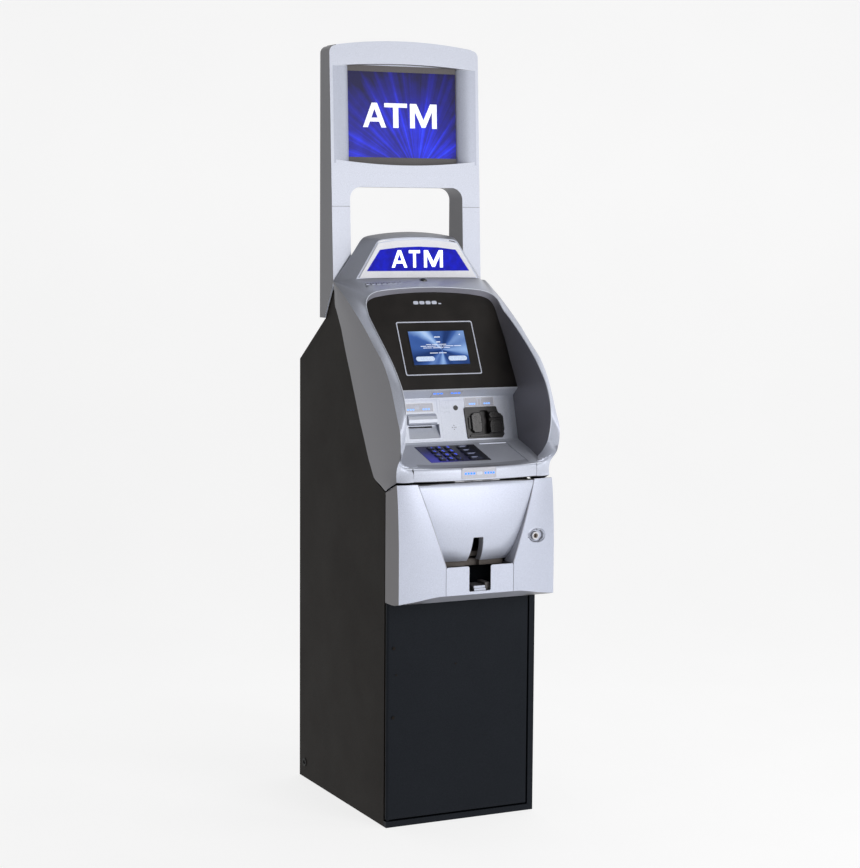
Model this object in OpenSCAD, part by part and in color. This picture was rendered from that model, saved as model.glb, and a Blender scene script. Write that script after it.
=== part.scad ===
// Free-standing cash machine with a tilting control panel, a vault door
// with a lockable dispenser cover, and an advertising display on two legs.
// Origin: centre of the floor anchor pattern, on the floor. Front faces -Y.

/* [Cabinet] */
// Width of the steel cabinet
cab_w = 406; // [404:1:408]
// Depth of the steel cabinet behind the door plane
cab_d = 553; // [550:1:560]
// Sheet thickness of the cabinet
wall = 4; // [3:0.5:4]
// Thickness of the vault door
door_t = 13; // [12:0.5:13]
// Radius of the floor anchor holes
anchor_r = 7; // [6:0.5:8]
// Anchor spacing across the width
anchor_dx = 290; // [280:5:300]
// Anchor spacing along the depth
anchor_dy = 380; // [360:5:400]

/* [Control panel] */
// Overall half width of the control panel hood
hood_hw = 214.5; // [213:0.5:215]
// Skin thickness of the moulded hood
skin = 3; // [2.5:0.5:3]
// Radius of the bowed front in plan
bow_r = 905; // [900:1:910]
// Lean of the display plane, degrees from horizontal
lcd_a = 63.5; // [63:0.5:64]
// Lean of the user panel, degrees from horizontal
panel_a = 74.2; // [74:0.1:74.4]
// Slope of the keypad shelf in degrees
shelf_a = 16; // [15.5:0.5:16.5]

/* [Keypad] */
// Size of a number key
key_s = 16; // [15:0.5:17]
// Width of a function key
fkey_w = 34; // [32:1:34]
// Pitch between number keys
key_p = 23.5; // [23:0.5:24]
// Pitch between key rows
row_p = 23; // [22.5:0.5:23]

/* [Dispenser cover] */
// Half width of the cover
bez_hw = 210; // [209:0.5:210]
// Half width of the note tray
tray_hw = 91; // [90:0.5:92]
// Half width of the finger notch
notch_hw = 29; // [26:1:30]

/* [Topper] */
// Half width of the display topper
top_hw = 208; // [206:0.5:208]
// Visible display width of the topper
tlcd_w = 304; // [300:1:306]
// Visible display height of the topper
tlcd_h = 224; // [222:1:228]

/* [Quality] */
// Facets on round surfaces
fn = 64; // [48:8:96]

/* [Hidden] */
$fn = fn;
oy = cab_d/2;                    // plan centre of the cabinet
hw = cab_w/2;
c_black = [0.16, 0.15, 0.14];
c_door = [0.14, 0.16, 0.20];
c_silver = [0.80, 0.81, 0.88];
c_steel = [0.62, 0.63, 0.66];

// extrude a (y,z) outline along X, an (x,z) outline along Y, an (x,y) outline along Z
module ex_x(x0, x1) { translate([x0, 0, 0]) rotate([90, 0, 90]) linear_extrude(x1 - x0) children(); }
module ex_y(y0, y1) { translate([0, y1, 0]) rotate([90, 0, 0]) linear_extrude(y1 - y0) children(); }
module ex_z(z0, z1) { translate([0, 0, z0]) linear_extrude(z1 - z0) children(); }
module cyl_x(x0, x1, y, z, r) { translate([x0, y, z]) rotate([0, 90, 0]) cylinder(r = r, h = x1 - x0); }
module cyl_y(y0, y1, x, z, r) { translate([x, y1, z]) rotate([90, 0, 0]) cylinder(r = r, h = y1 - y0); }
module box(x0, x1, y0, y1, z0, z1) { translate([x0, y0, z0]) cube([x1 - x0, y1 - y0, z1 - z0]); }
module org() { translate([0, -oy, 0]) children(); }
module both() { children(); mirror([1, 0, 0]) children(); }
module rrect(x0, x1, y0, y1, r) {
  translate([x0 + r, y0]) square([x1 - x0 - 2*r, y1 - y0]);
  translate([x0, y0 + r]) square([x1 - x0, y1 - y0 - 2*r]);
  for (x = [x0 + r, x1 - r], y = [y0 + r, y1 - r]) translate([x, y]) circle(r = r, $fn = 32);
}
// local frames: X across, Y up the surface, Z out of it
module on_lcd() { translate([0, 139.5, 1162]) rotate([lcd_a, 0, 0]) children(); }
module on_panel() { translate([0, 81, 934]) rotate([panel_a, 0, 0]) children(); }
module on_shelf() { translate([0, 74, 929]) rotate([shelf_a, 0, 0]) children(); }
module on_ledge() { translate([0, 111, 1040]) rotate([140, 0, 0]) children(); }
module on_sign() { translate([0, 263, 1332]) rotate([86.8, 0, 0]) children(); }
module on_roof() { translate([0, 241, 1326.7]) rotate([26, 0, 0]) children(); }
// leaning front of the topper: Z up the front, Y into it
module on_top() { translate([0, 331, 1510]) rotate([-2.77, 0, 0]) children(); }

// ---------------- cabinet ----------------
cab_side = [[15, 0], [cab_d, 0], [cab_d, 1113], [384, 1226], [376, 1226], [328, 1302], [322, 1302],
  [322, 1272], [283, 1213], [238, 1128], [162, 984], [107, 891], [75, 848], [15, 825]];
cab_in = [[-20, -1], [cab_d - wall, -1], [cab_d - wall, 1111], [382.6, 1222], [373.8, 1222], [326, 1298],
  [300, 1298], [300, 1320], [-20, 1320]];
module cabinet_shell() color(c_black) org() difference() {
  union() {
    // two side sheets and the back and roof sheet between them
    ex_x(-hw, -hw + wall) polygon(cab_side);
    ex_x(hw - wall, hw) polygon(cab_side);
    ex_x(-hw + wall + 0.02, hw - wall - 0.02) difference() { polygon(cab_side); polygon(cab_in); }
  }
  cyl_x(-hw - 1, -hw + wall + 1, 519, 41, 9);
  for (x = [-182, 182]) translate([x, 376, 1226]) rotate([122.3, 0, 0]) translate([0, 45, -20]) cylinder(r = 6, h = 40);
  both() for (z = [1000, 1018, 1036, 1054, 1072]) box(40, 160, cab_d - wall - 1, cab_d + 1, z, z + 5);
}
module base_plate() color(c_black) org() difference() {
  box(-hw + wall, hw - wall, 42, cab_d - wall, 0, 8);
  for (x = [-1, 1], y = [-1, 1]) translate([x*anchor_dx/2, oy + y*anchor_dy/2, -1]) cylinder(r = anchor_r, h = 10);
}
// jamb frame behind and beside the door
module door_frame() color(c_black) org() difference() {
  union() {
    box(188, hw, 0, 15, 0, 819);
    box(188, hw - wall, 15, 42, 0, 819);
    box(-hw, 188, 0, 15, 0, 15);
    box(-hw + wall, 188, 15, 30, 0, 15);
    box(-hw + wall, -189, 22, 42, 15, 819);
    box(-hw + wall, -189, 15, 42, 0, 15);
    translate([-196, 6.5, 10]) cylinder(r = 3.5, h = 22);
  }
  for (z = [150, 420, 740]) cyl_x(187, hw - wall, 29, z, 9.6);
}
module safe_top_plate() color(c_black) org() difference() {
  union() {
    box(-hw + wall, hw - wall, 15, cab_d - wall, 819, 825);
    box(-hw, -186, 0, 15, 819, 825);
    translate([-196, 6.5, 802]) cylinder(r = 3.5, h = 20);
  }
  translate([0, 480, 810]) cylinder(r = 22, h = 20);
}
module cable_grommet() color([0.1, 0.1, 0.1]) org() difference() {
  union() { cyl_x(-hw - 2, -hw, 519, 41, 11.5); cyl_x(-hw, -hw + wall, 519, 41, 9); cyl_x(-hw + wall, -hw + wall + 2, 519, 41, 11); }
  cyl_x(-hw - 3, -hw + wall + 3, 519, 41, 6);
}

// ---------------- safe contents ----------------
module dispenser_frame() color(c_steel) org() difference() {
  union() {
    both() box(105, 108, 60, 440, 8, 700);
    box(-105, 105, 437, 440, 300, 700);
    box(-105, 105, 60, 430, 300, 303);
    box(-105, 105, 60, 430, 455, 458);
    box(-105, 105, 60, 140, 697, 700);
  }
  for (p = [[90, 640], [90, 673]]) cyl_x(-110, 110, p[0], p[1], 4.06);
}
module cash_cassette() color([0.22, 0.23, 0.25]) org() difference() {
  union() {
    box(-98, 98, 66, 425, 303, 440);
    both() box(30, 36, 50, 66, 360, 366);
    box(-36, 36, 46, 52, 360, 366);
  }
  box(-90, 90, 75, 416, 314, 450);
}
module feed_rollers() color([0.12, 0.12, 0.12]) org() {
  cyl_x(-112, 112, 90, 640, 4);
  for (x = [-62, 0, 62]) cyl_x(x - 9, x + 9, 90, 640, 14);
}
module power_supply() color(c_steel) org() difference() {
  box(30, 160, 390, 530, 825, 915);
  box(128, 148, 385, 402, 846, 874);
  for (i = [0:5]) cyl_y(388, 400, 50 + i*11, 896, 3);
}
module power_switch() color([0.05, 0.05, 0.05]) org() translate([138, 394, 860]) rotate([0, 0, 0])
{
  ex_x(-9, 9) polygon([[2, -12], [-5, -12.5], [-1.5, 0], [-8, 12], [2, 12]]);
  cyl_x(-9.4, 9.4, 0, 0, 2.4);
}
module control_unit() color(c_steel) org() difference() {
  box(-165, -15, 370, 540, 825, 940);
  for (i = [0:7]) box(-150 + i*16, -144 + i*16, 365, 375, 850, 915);
}
// hinge strip between cabinet and control panel
module panel_hinge_fixed() color(c_steel) org() {
  difference() {
    union() {
      box(-60, 60, 12, 15, 826, 855);
      box(-60, 60, 12, 40, 825, 828);
      box(-60, 60, -70, 15, 852.5, 855);
      for (x = [-60, -12, 36]) cyl_x(x, x + 24, -74, 854.5, 2.4);
      for (x = [-60, -12, 36]) box(x, x + 24, -74, -69, 852.5, 855);
    }
    cyl_x(-61, 61, -74, 854.5, 1.2);
  }
  cyl_x(-60, 60, -74, 854.5, 1.2);
}

// ---------------- topper ----------------
t_prof = [[331, 1510], [405, 1510], [405, 1940], [351.8, 1940]];
module t_outline(i) intersection() {
  translate([0, 1927 - 1269]) circle(r = 1269 - i, $fn = 200);
  union() {
    translate([-top_hw + i, 1510]) square([2*top_hw - 2*i, 383]);
    translate([-top_hw + 18, 1510]) square([2*top_hw - 36, 430]);
    for (x = [-1, 1]) translate([x*(top_hw - 18), 1893]) circle(r = 18 - i, $fn = 48);
  }
}
module t_window(i) {
  translate([-158 - i, 1480]) square([316 + 2*i, 52]);
  translate([-128 - i, 1480]) square([256 + 2*i, 79 + i]);
  for (x = [-128, 128]) translate([x, 1529]) circle(r = 30 + i, $fn = 48);
}
// plan outline of the display recess with flared side walls, in the leaning frame
t_plan = concat([[-200, -20]], [for (a = [0:6]) [-200 + 48*sin(a*15), 20 - 20*cos(a*15)]],
  [for (a = [6:-1:0]) [200 - 48*sin(a*15), 20 - 20*cos(a*15)]], [[200, -20]]);
module t_recess_face() intersection() {
  translate([0, 360 - 2000]) circle(r = 2000, $fn = 240);
  difference() { translate([-200, 90]) square([400, 290]); translate([0, 99 - 1545]) circle(r = 1545, $fn = 240); }
}
module topper_housing() color(c_silver) org() difference() {
  intersection() { ex_x(-220, 220) polygon(t_prof); ex_y(300, 405) t_outline(0); }
  ex_y(300, 450) t_window(0);
  difference() {
    intersection() {
      ex_x(-220, 220) polygon([[334.5, 1505], [410, 1505], [410, 1940], [355.3, 1940]]);
      ex_y(300, 450) t_outline(skin);
    }
    ex_y(300, 450) t_window(skin);
    on_top() intersection() { ex_z(80, 380) offset(delta = 3) polygon(t_plan); ex_y(-40, 23) offset(delta = 3) t_recess_face(); }
  }
  on_top() intersection() { ex_z(80, 390) polygon(t_plan); ex_y(-60, 60) t_recess_face(); }
  on_top() box(-153, 153, -20, 60, 230 - tlcd_h/2 - 1, 230 + tlcd_h/2 + 1);
}
module topper_display() color([0.05, 0.06, 0.1]) org() on_top() difference() {
  union() {
    box(-tlcd_w/2 - 0.6, tlcd_w/2 + 0.6, 20, 24, 230 - tlcd_h/2 - 0.6, 230 + tlcd_h/2 + 0.6);
    box(-165, 165, 23, 38, 230 - 122, 230 + 122);
  }
  box(-60, 60, 34, 46, 190, 270);
}
module topper_rear_cover() color(c_silver) org() difference() {
  union() {
    ex_y(405, 408) t_outline(0);
    ex_x(-199, 199) polygon([[407, 1603], [425, 1619], [425, 1863], [407, 1879]]);
  }
  ex_y(380, 450) t_window(0);
  ex_x(-196, 196) polygon([[400, 1604], [405, 1606], [422, 1621.5], [422, 1860.5], [405, 1876], [400, 1876]]);
  for (z = [1660, 1672, 1684, 1796, 1808, 1820]) box(-70, 70, 415, 430, z, z + 4);
}
module topper_legs() color(c_silver) org() both() difference() {
  ex_x(158, top_hw) polygon([[321.8, 1320], [331, 1510], [408, 1510], [408, 1228], [379.2, 1228]]);
  ex_x(161, top_hw - 3) polygon([[326, 1321.5], [335, 1520], [405, 1520], [405, 1232], [381.5, 1232]]);
}
module topper_bracket() color(c_black) org() for (x = [-182, 182]) {
  translate([x, 376, 1226]) rotate([122.3, 0, 0]) difference() {
    union() { translate([-22, 0, -3.8]) cube([44, 84, 3.6]); translate([0, 45, -3.6]) cylinder(r = 5.9, h = 12); }
    translate([0, 45, -20]) cylinder(r = 3, h = 60);
  }
}

// ---------------- vault door ----------------
module vault_door() color(c_door) org() difference() {
  union() {
    box(-196, 183, 0, door_t, 20, 815);
    translate([-196, door_t/2, 20]) cylinder(r = door_t/2, h = 795);
    box(-180, -176, door_t, 26, 40, 795);
    box(100, 104, door_t, 24, 40, 795);
    for (z = [150, 420, 740]) box(164, 176, door_t, 41, z - 14, z + 14);
  }
  for (z = [150, 420, 740]) cyl_x(160, 180, 29, z, 9.4);
  translate([-196, 6.5, 19]) cylinder(r = 3.56, h = 14);
  translate([-196, 6.5, 800]) cylinder(r = 3.56, h = 20);
  box(-86, 86, -1, door_t + 1, 634, 684);
  cyl_y(-1, door_t + 1, 152, 770, 5.06);
  cyl_y(-1, door_t + 1, 152, 628, 6.06);
  for (p = [[-185, 444], [-186, 273]]) cyl_y(-1, 8, p[0], p[1], 2);
  for (p = [[-178, 378], [-17, 393]]) cyl_y(-1, 6, p[0], p[1], 1.5);
}
module door_screws() color(c_steel) org() {
  for (p = [[-185, 444], [-186, 273]]) { cyl_y(-2.2, 0, p[0], p[1], 4); cyl_y(0, 8, p[0], p[1], 2); }
  for (p = [[-178, 378], [-17, 393]]) { cyl_y(-1.2, 0, p[0], p[1], 2.4); cyl_y(0, 6, p[0], p[1], 1.5); }
}
module combination_dial() color([0.1, 0.1, 0.11]) org() {
  cyl_y(-6, -0.8, 152, 770, 31);
  cyl_y(-26, -6, 152, 770, 17);
  cyl_y(-0.8, 30, 152, 770, 5);
  cyl_y(18, 28, 152, 770, 12);
}
module bolt_handle() color(c_steel) org() {
  cyl_y(-22, 32, 152, 628, 6);
  cyl_y(-14, -0.8, 152, 628, 13);
  box(146, 158, -22, -14, 580, 628);
  cyl_y(15, 23, 152, 628, 15);
}
module lock_bolts() color(c_steel) org() {
  for (z = [150, 420, 740]) cyl_x(128, 184, 29, z, 9);
  box(116, 128, 26, 32, 130, 590);
  box(116, 128, 26, 32, 560, 748);
}
module note_nozzle() color([0.30, 0.28, 0.26]) org() difference() {
  union() {
    ex_x(-84, 84) polygon([[-50, 650], [-50, 656], [10, 664], [60, 664], [60, 636], [10, 636], [-50, 644]]);
    ex_x(-84, 84) polygon([[-34, 656], [-34, 676], [60, 682], [60, 660], [10, 660]]);
    box(-92, 92, door_t, door_t + 3, 626, 692);
  }
  ex_x(-80, 80) polygon([[-60, 656.2], [-60, 662], [70, 674], [70, 667]]);
  box(-20, 20, -60, -36, 630, 690);
  cyl_x(-82, 82, 75, 640, 20);
}
// pivot and strike brackets for the dispenser cover
module cover_bracket() color(c_steel) org() {
  for (z = [600, 780]) {
    difference() {
      union() {
        translate([-203, -9, z]) cylinder(r = 3.6, h = 5);
        box(-203, -186, -12.4, -7, z, z + 5);
        box(-195, -181, -12.4, 0, z, z + 5);
        box(-195, -181, -3, 0, z - 14, z + 19);
      }
    }
    translate([-203, -9, z + 4]) cylinder(r = 2.5, h = 13);
  }
  box(179, 182.5, -68, 0, 698, 730);
  box(168, 182.5, -3, 0, 698, 730);
  box(168, 182.5, -68, -65, 698, 730);
}

// ---------------- dispenser cover ----------------
// moulded cover with leaning flanks; i = inset
module cover_form(i) difference() {
  ex_z(560 + i, 851 - i) polygon([[-bez_hw + i, -4], [-bez_hw + i, -83 + i], [-tray_hw, -95 + i], [tray_hw, -95 + i],
    [bez_hw - i, -83 + i], [bez_hw - i, -4]]);
  translate([0, -95 + i, 700]) rotate([-5.5, 0, 0]) box(-300, 300, -80, 0, 0, 300);
  both() translate([tray_hw, -95 + i, 700]) rotate([0, 0, 5.8]) rotate([-5.5, 0, 0]) box(-200, 300, -80, 0, 0, 300);
  translate([0, -95 + i, 581 + i]) rotate([-27.7, 0, 0]) box(-300, 300, -80, 200, -80, 0);
  translate([0, -66, 851 - i]) rotate([-22, 0, 0]) box(-300, 300, 0, 100, 0, 80);
  translate([0, -76, 851 - i]) rotate([45, 0, 0]) box(-300, 300, -30, 30, 0, 30);
}
v_open = [[-158, 870], [158, 870], [158, 851], [tray_hw, 650], [-tray_hw, 650], [-158, 851]];
bowl_line = [[-77, 852], [-74, 820], [-70, 780], [-65, 740], [-60, 700], [-57, 661]];
module dispenser_cover() color(c_silver) org() difference() {
  union() {
    difference() {
      cover_form(0);
      difference() { cover_form(skin); box(-300, 300, -4.001, 0, 500, 900); }
      box(-bez_hw + skin, bez_hw - skin, -60, 0, 562, 822);
    }
    for (z = [606, 786]) {
      box(-bez_hw + skin, -203, -13, -5.5, z, z + 5);
      translate([-203, -9, z]) cylinder(r = 4.6, h = 5);
    }
    // pocket floor behind the tray front
    box(-tray_hw + 1, tray_hw - 1, -92, -30, 588, 591);
    intersection() { cyl_y(-95, -70, 160, 713, 27); cover_form(0); }
    both() ex_x(tray_hw - 3, tray_hw) polygon([[-93, 586], [-30, 586], [-30, 640], [-93, 649]]);
  }
  ex_y(-110, -20) polygon(v_open);
  box(-notch_hw, notch_hw, -110, -89, 588, 660);
  for (z = [606, 786]) translate([-203, -9, z - 1]) cylinder(r = 2.56, h = 7);
  cyl_y(-110, -60, 153, 713, 9);
  translate([160, -92, 713]) scale([1, 1, 1]) rotate([90, 0, 0]) translate([0, 0, -4]) linear_extrude(20) union() { circle(r = 17, $fn = 64); translate([6, 0]) circle(r = 17, $fn = 64); }
}
module dispenser_bowl() color(c_silver) org() difference() {
  union() {
    intersection() {
      ex_x(-160, 160) polygon(concat(bowl_line, [for (k = [5:-1:0]) [bowl_line[k][0] + 3, bowl_line[k][1]]]));
      ex_y(-110, -20) polygon([[-156.6, 847.6], [156.6, 847.6], [tray_hw - 0.6, 650], [-tray_hw + 0.6, 650]]);
    }
    // triangular cheeks between the flank edge and the bowl
    difference() {
      intersection() {
        ex_x(-160, 160) polygon([[-92.5, 655], [-92.5, 700], [-78, 847], [-72, 847], [-60, 700], [-54, 655]]);
        difference() {
          ex_y(-110, -20) polygon([[-156.6, 847.6], [156.6, 847.6], [tray_hw - 0.6, 650], [-tray_hw + 0.6, 650]]);
          ex_y(-111, -19) polygon([[-153.4, 848.6], [153.4, 848.6], [tray_hw - 3.6, 649], [-tray_hw + 3.6, 649]]);
        }
      }
      box(-200, 200, -120, 0, 640, 657);
      translate([0, -94.4, 700]) rotate([-5.5, 0, 0]) box(-300, 300, -80, 0, 0, 300);
      both() translate([tray_hw, -94.4, 700]) rotate([0, 0, 5.8]) rotate([-5.5, 0, 0]) box(-200, 300, -80, 0, 0, 300);
    }
  }
  ex_y(-110, -20) polygon([[-12, 719], [12, 719], [25, 650], [-25, 650]]);
}
module cover_lock_body() color(c_steel) org() difference() {
  union() { cyl_y(-91.5, -64.4, 153, 713, 8.9); cyl_y(-70, -64.4, 153, 713, 12); }
  cyl_y(-93, -60, 153, 713, 6.05);
}
module cover_lock_plug() color([0.35, 0.3, 0.27]) org() difference() {
  union() { cyl_y(-91, -58, 153, 713, 6); cyl_y(-63.5, -60, 153, 713, 8); box(146.5, 159.5, -62.5, -60, 690, 713); }
  box(151.8, 154.2, -92, -80, 709, 717);
}

// ---------------- control panel ----------------
hood = [[7, 829], [72, 852], [104, 893], [159, 986], [235, 1129], [280, 1214], [319, 1270], [319, 1323], [305, 1322],
  [215, 1279], [131, 1237], [60, 1180], [5, 1135], [-38, 1090], [-68, 1042], [-88, 1000], [-96, 968], [-93, 935],
  [-80, 908], [-62, 890], [-58, 875], [-60, 857]];
hood_x = [[37, 816.5], [102, 846], [134, 893], [189, 986], [265, 1129], [310, 1212], [350, 1270], [350, 1323], [305, 1322],
  [215, 1279], [131, 1237], [60, 1180], [5, 1135], [-38, 1090], [-68, 1042], [-88, 1000], [-96, 968], [-93, 935],
  [-80, 908], [-62, 890], [-58, 875], [-60, 857]];
function front(i) = [[-207 + i, 820], [-207 + i, 880], [-210 + i, 905], [-213 + i, 940], [-hood_hw + i, 975], [-hood_hw + i, 1400],
  [hood_hw - i, 1400], [hood_hw - i, 975], [213 - i, 940], [210 - i, 905], [207 - i, 880], [207 - i, 820]];
head_f = [[-172, -14], [-170, 0], [-113, 90], [-60, 99], [0, 102], [60, 99], [113, 90], [170, 0], [172, -14]];
head_b = [[-206, 1312], [-205, 1325], [-165, 1380], [-129, 1436], [-70, 1444], [0, 1447], [70, 1444], [129, 1436], [165, 1380], [205, 1325], [206, 1312]];
module hood_form(i) {
  intersection() {
    ex_x(-hood_hw + i, hood_hw - i) offset(delta = -i) polygon(i == 0 ? hood : hood_x);
    ex_y(-120, 400) polygon(front(i));
  }
  intersection() {
    ex_x(-hood_hw + i, hood_hw - i) polygon(i == 0 ? [[131, 1237], [319, 1328.8], [319, 1400], [113, 1290]] : [[131, 1230], [350, 1325], [350, 1400], [110, 1290]]);
    translate([0, 131, 1237 + 36]) rotate([26.04, 0, 0]) translate([0, -80, -726]) rotate([-90, 0, 0]) cylinder(r = 726 - i, h = 400, $fn = 240);
  }
  if (i == 0) hull() { on_sign() translate([0, 0, -0.5]) linear_extrude(0.5) polygon(head_f); ex_y(318.5, 319) polygon(head_b); }
  else hull() { on_sign() translate([0, 0, -3.5]) linear_extrude(0.5) offset(delta = -i) polygon(head_f); ex_y(318.5, 360) offset(delta = -i) polygon(head_b); }
}
lcd_face = [[-196, -112], [196, -112], [187, 30], [181, 104], [176, 119], [166, 131], [150, 138], [115, 145], [60, 150], [0, 152],
  [-60, 150], [-115, 145], [-150, 138], [-166, 131], [-176, 119], [-181, 104], [-187, 30]];
module fascia_shell() color(c_silver) org() difference() {
  union() {
    difference() {
      hood_form(0); hood_form(skin);
      box(-192, 192, -59, 90, 820, 884);
    }
    intersection() { hood_form(0); union() {
      on_lcd() translate([0, 0, -18]) linear_extrude(330) difference() { offset(delta = 3) polygon(lcd_face); polygon(lcd_face); }
      both() ex_x(195, 198) polygon([[108, 1080], [132, 1040], [96, 915], [-57, 862], [-160, 862], [-160, 1200], [0, 1200]]);
    } }
    // bowed apron under the shelf edge
    intersection() {
      translate([0, bow_r - 84, 857]) difference() { cylinder(r = bow_r, h = 40, $fn = 360); translate([0, 0, 3]) cylinder(r = bow_r - 3, h = 60, $fn = 360); translate([0, 27, -1]) cylinder(r = bow_r, h = 60, $fn = 360); }
      box(-207, 207, -90, -50, 850, 897);
    }
    for (x = [-35.5, 12.5]) difference() {
      union() { cyl_x(x, x + 23, -74, 854.5, 2.4); box(x, x + 23, -76, -70, 854.5, 858); }
      cyl_x(x - 1, x + 24, -74, 854.5, 1.26);
    }
  }
  for (x = [-35.5, 12.5]) cyl_x(x - 1, x + 24, -74, 854.5, 1.26);
  on_lcd() linear_extrude(400) polygon(lcd_face);
  on_lcd() translate([0, 0, -3.1]) linear_extrude(4) polygon(lcd_face);
  ex_x(-195, 195) polygon([[86, 1061], [111, 1040], [81, 934], [74, 929], [-98, 879.7], [-160, 879.7], [-160, 1184]]);
  intersection() {
    ex_x(-195, 195) polygon([[88, 1066], [116, 1041], [85, 931], [76, 925.4], [-98, 875.5], [-160, 875.5], [-160, 1184]]);
    translate([0, bow_r - 84, 800]) cylinder(r = bow_r - 3, h = 400, $fn = 360);
  }
  on_roof() translate([0, 0, -20]) cylinder(r = 9.8, h = 30);
  on_sign() linear_extrude(10) offset(delta = 0.4) polygon(trim_o);
  on_sign() translate([0, 0, -4]) linear_extrude(10) polygon([[-138, 21], [138, 21], [103, 66], [0, 73], [-103, 66]]);
}
module display_panel() color([0.14, 0.13, 0.13]) org() on_lcd() translate([0, 0, -3]) linear_extrude(2.8) difference() {
  polygon(lcd_face);
  translate([-79, -46]) square([158, 92]);
  translate([-200, -120]) square([400, 10]);
}
module display_screen() color([0.1, 0.15, 0.4]) org() on_lcd() {
  translate([-78.6, -45.6, -3.2]) cube([157.2, 91.2, 2.4]);
  translate([-88, -54, -18]) cube([176, 108, 14.8]);
}
up_out = [[86.6, 1060.4], [111, 1040], [81, 934], [74, 929], [-98, 879.7]];
up_in = [[-98, 876.5], [75, 926], [84.3, 932.4], [114.6, 1041], [88.4, 1063]];
module reader_outline() polygon([[53, 4], [150, 4], [156, 12], [154.5, 18], [157, 24], [157, 57], [151, 64], [146, 66], [143, 72], [141, 81], [138, 83], [54, 83], [51, 79]]);
module user_panel() color(c_silver) org() difference() {
  intersection() {
    ex_x(-195, 195) polygon(concat(up_out, up_in));
    translate([0, bow_r - 84, 800]) cylinder(r = bow_r - 3.2, h = 400, $fn = 360);
  }
  on_panel() translate([0, 0, -10]) linear_extrude(20) offset(delta = 0.2) reader_outline();
  on_panel() translate([-112.2, 2.8, -10]) cube([98.4, 103.4, 20]);
  on_panel() translate([29, 83, -10]) cylinder(r = 6.5, h = 20);
  on_shelf() translate([-104.3, -114.3, -10]) cube([162.6, 100.1, 20]);
}
module guide_lights() color([0.6, 0.8, 1.0]) org() {
  on_ledge() translate([0, 0, 0.15]) linear_extrude(1.0) polygon([[-40, 3], [41, 3], [44, 29], [-37, 29]]);
  intersection() {
    translate([0, bow_r - 84, 862]) difference() { cylinder(r = bow_r + 1.2, h = 24, $fn = 360); translate([0, 0, -1]) cylinder(r = bow_r, h = 30, $fn = 360); }
    box(-44, 45, -100, -70, 850, 900);
  }
  on_panel() translate([-107, 76, 0]) cube([74, 21, 1.0]);
  on_panel() translate([56, 85, 0]) cube([80, 22, 1.0]);
}
module receipt_bezel() color(c_silver) org() on_panel() difference() {
  union() {
    translate([-112, 3, -3]) cube([98, 103, 3]);
    translate([-110, 5, -17]) cube([94, 44, 14.5]);
    ex_x(-107, -29) polygon([[44, 0], [44.5, 6], [47, 9.5], [55, 11], [63, 9], [69, 3.5], [71, 0]]);
  }
  // funnel under the hood, closed by a sloping floor
  ex_x(-106, -21) polygon([[8, 1], [10, -1], [41, -13], [44, -13], [44, 1]]);
  ex_x(-101, -35) polygon([[37.4, -20], [41.6, -20], [41.6, -10], [37.4, -10]]);
}
module receipt_printer() color([0.25, 0.26, 0.28]) org() on_panel() difference() {
  union() {
    for (x = [-104, -35]) translate([x, 14, -98]) cube([3, 84, 80]);
    translate([-101, 14, -98]) cube([66, 84, 3]);
    translate([-101, 14, -95]) cube([66, 3, 60]);
    translate([-101, 43.2, -34]) cube([66, 8, 16]);
  }
  cyl_x(-110, -30, 34, -24, 3.06);
  cyl_x(-110, -30, 62, -66, 6.2);
}
module paper_roll() color([0.95, 0.95, 0.93]) org() on_panel() {
  cyl_x(-98, -39, 62, -66, 25);
  cyl_x(-103.6, -32.6, 62, -66, 6.14);
}
module platen_roller() color([0.1, 0.1, 0.1]) org() on_panel() {
  cyl_x(-100, -36, 34, -24, 5);
  cyl_x(-106, -31, 34, -24, 3);
}
module card_reader_bezel() color([0.10, 0.10, 0.10]) org() on_panel() difference() {
  union() {
    translate([0, 0, -3]) linear_extrude(6) reader_outline();
    reader_parts();
  }
  translate([93, 12, -2]) cube([23, 60, 20]);
  translate([84, 49, -12]) cube([57, 3.2, 30]);
}
// finger guards of the card slot, in the panel's local frame
module reader_parts() {
  translate([68, 14, 3]) cube([25, 56, 7]);
  translate([116, 17, 3]) cube([32, 50, 7]);
  translate([62, 24, 3]) cube([6, 38, 3]);
  translate([60, 10, 3]) cube([88, 3, 4]);
  translate([80, 42, -20]) cube([65, 17, 17]);
}
module card_reader_body() color([0.2, 0.21, 0.23]) org() on_panel() difference() {
  translate([78, 38, -112]) cube([69, 25, 91.6]);
  translate([84, 49, -106]) cube([57, 3.2, 100]);
  translate([74, 58, -100]) cube([77, 10, 60]);
}
module audio_jack() color([0.75, 0.75, 0.78]) org() on_panel() translate([29, 83, 0]) difference() {
  union() { translate([0, 0, -18]) cylinder(r = 5, h = 18); translate([0, 0, -3]) cylinder(r = 6.3, h = 3.8); }
  translate([0, 0, -15]) cylinder(r = 1.8, h = 20);
}
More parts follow.
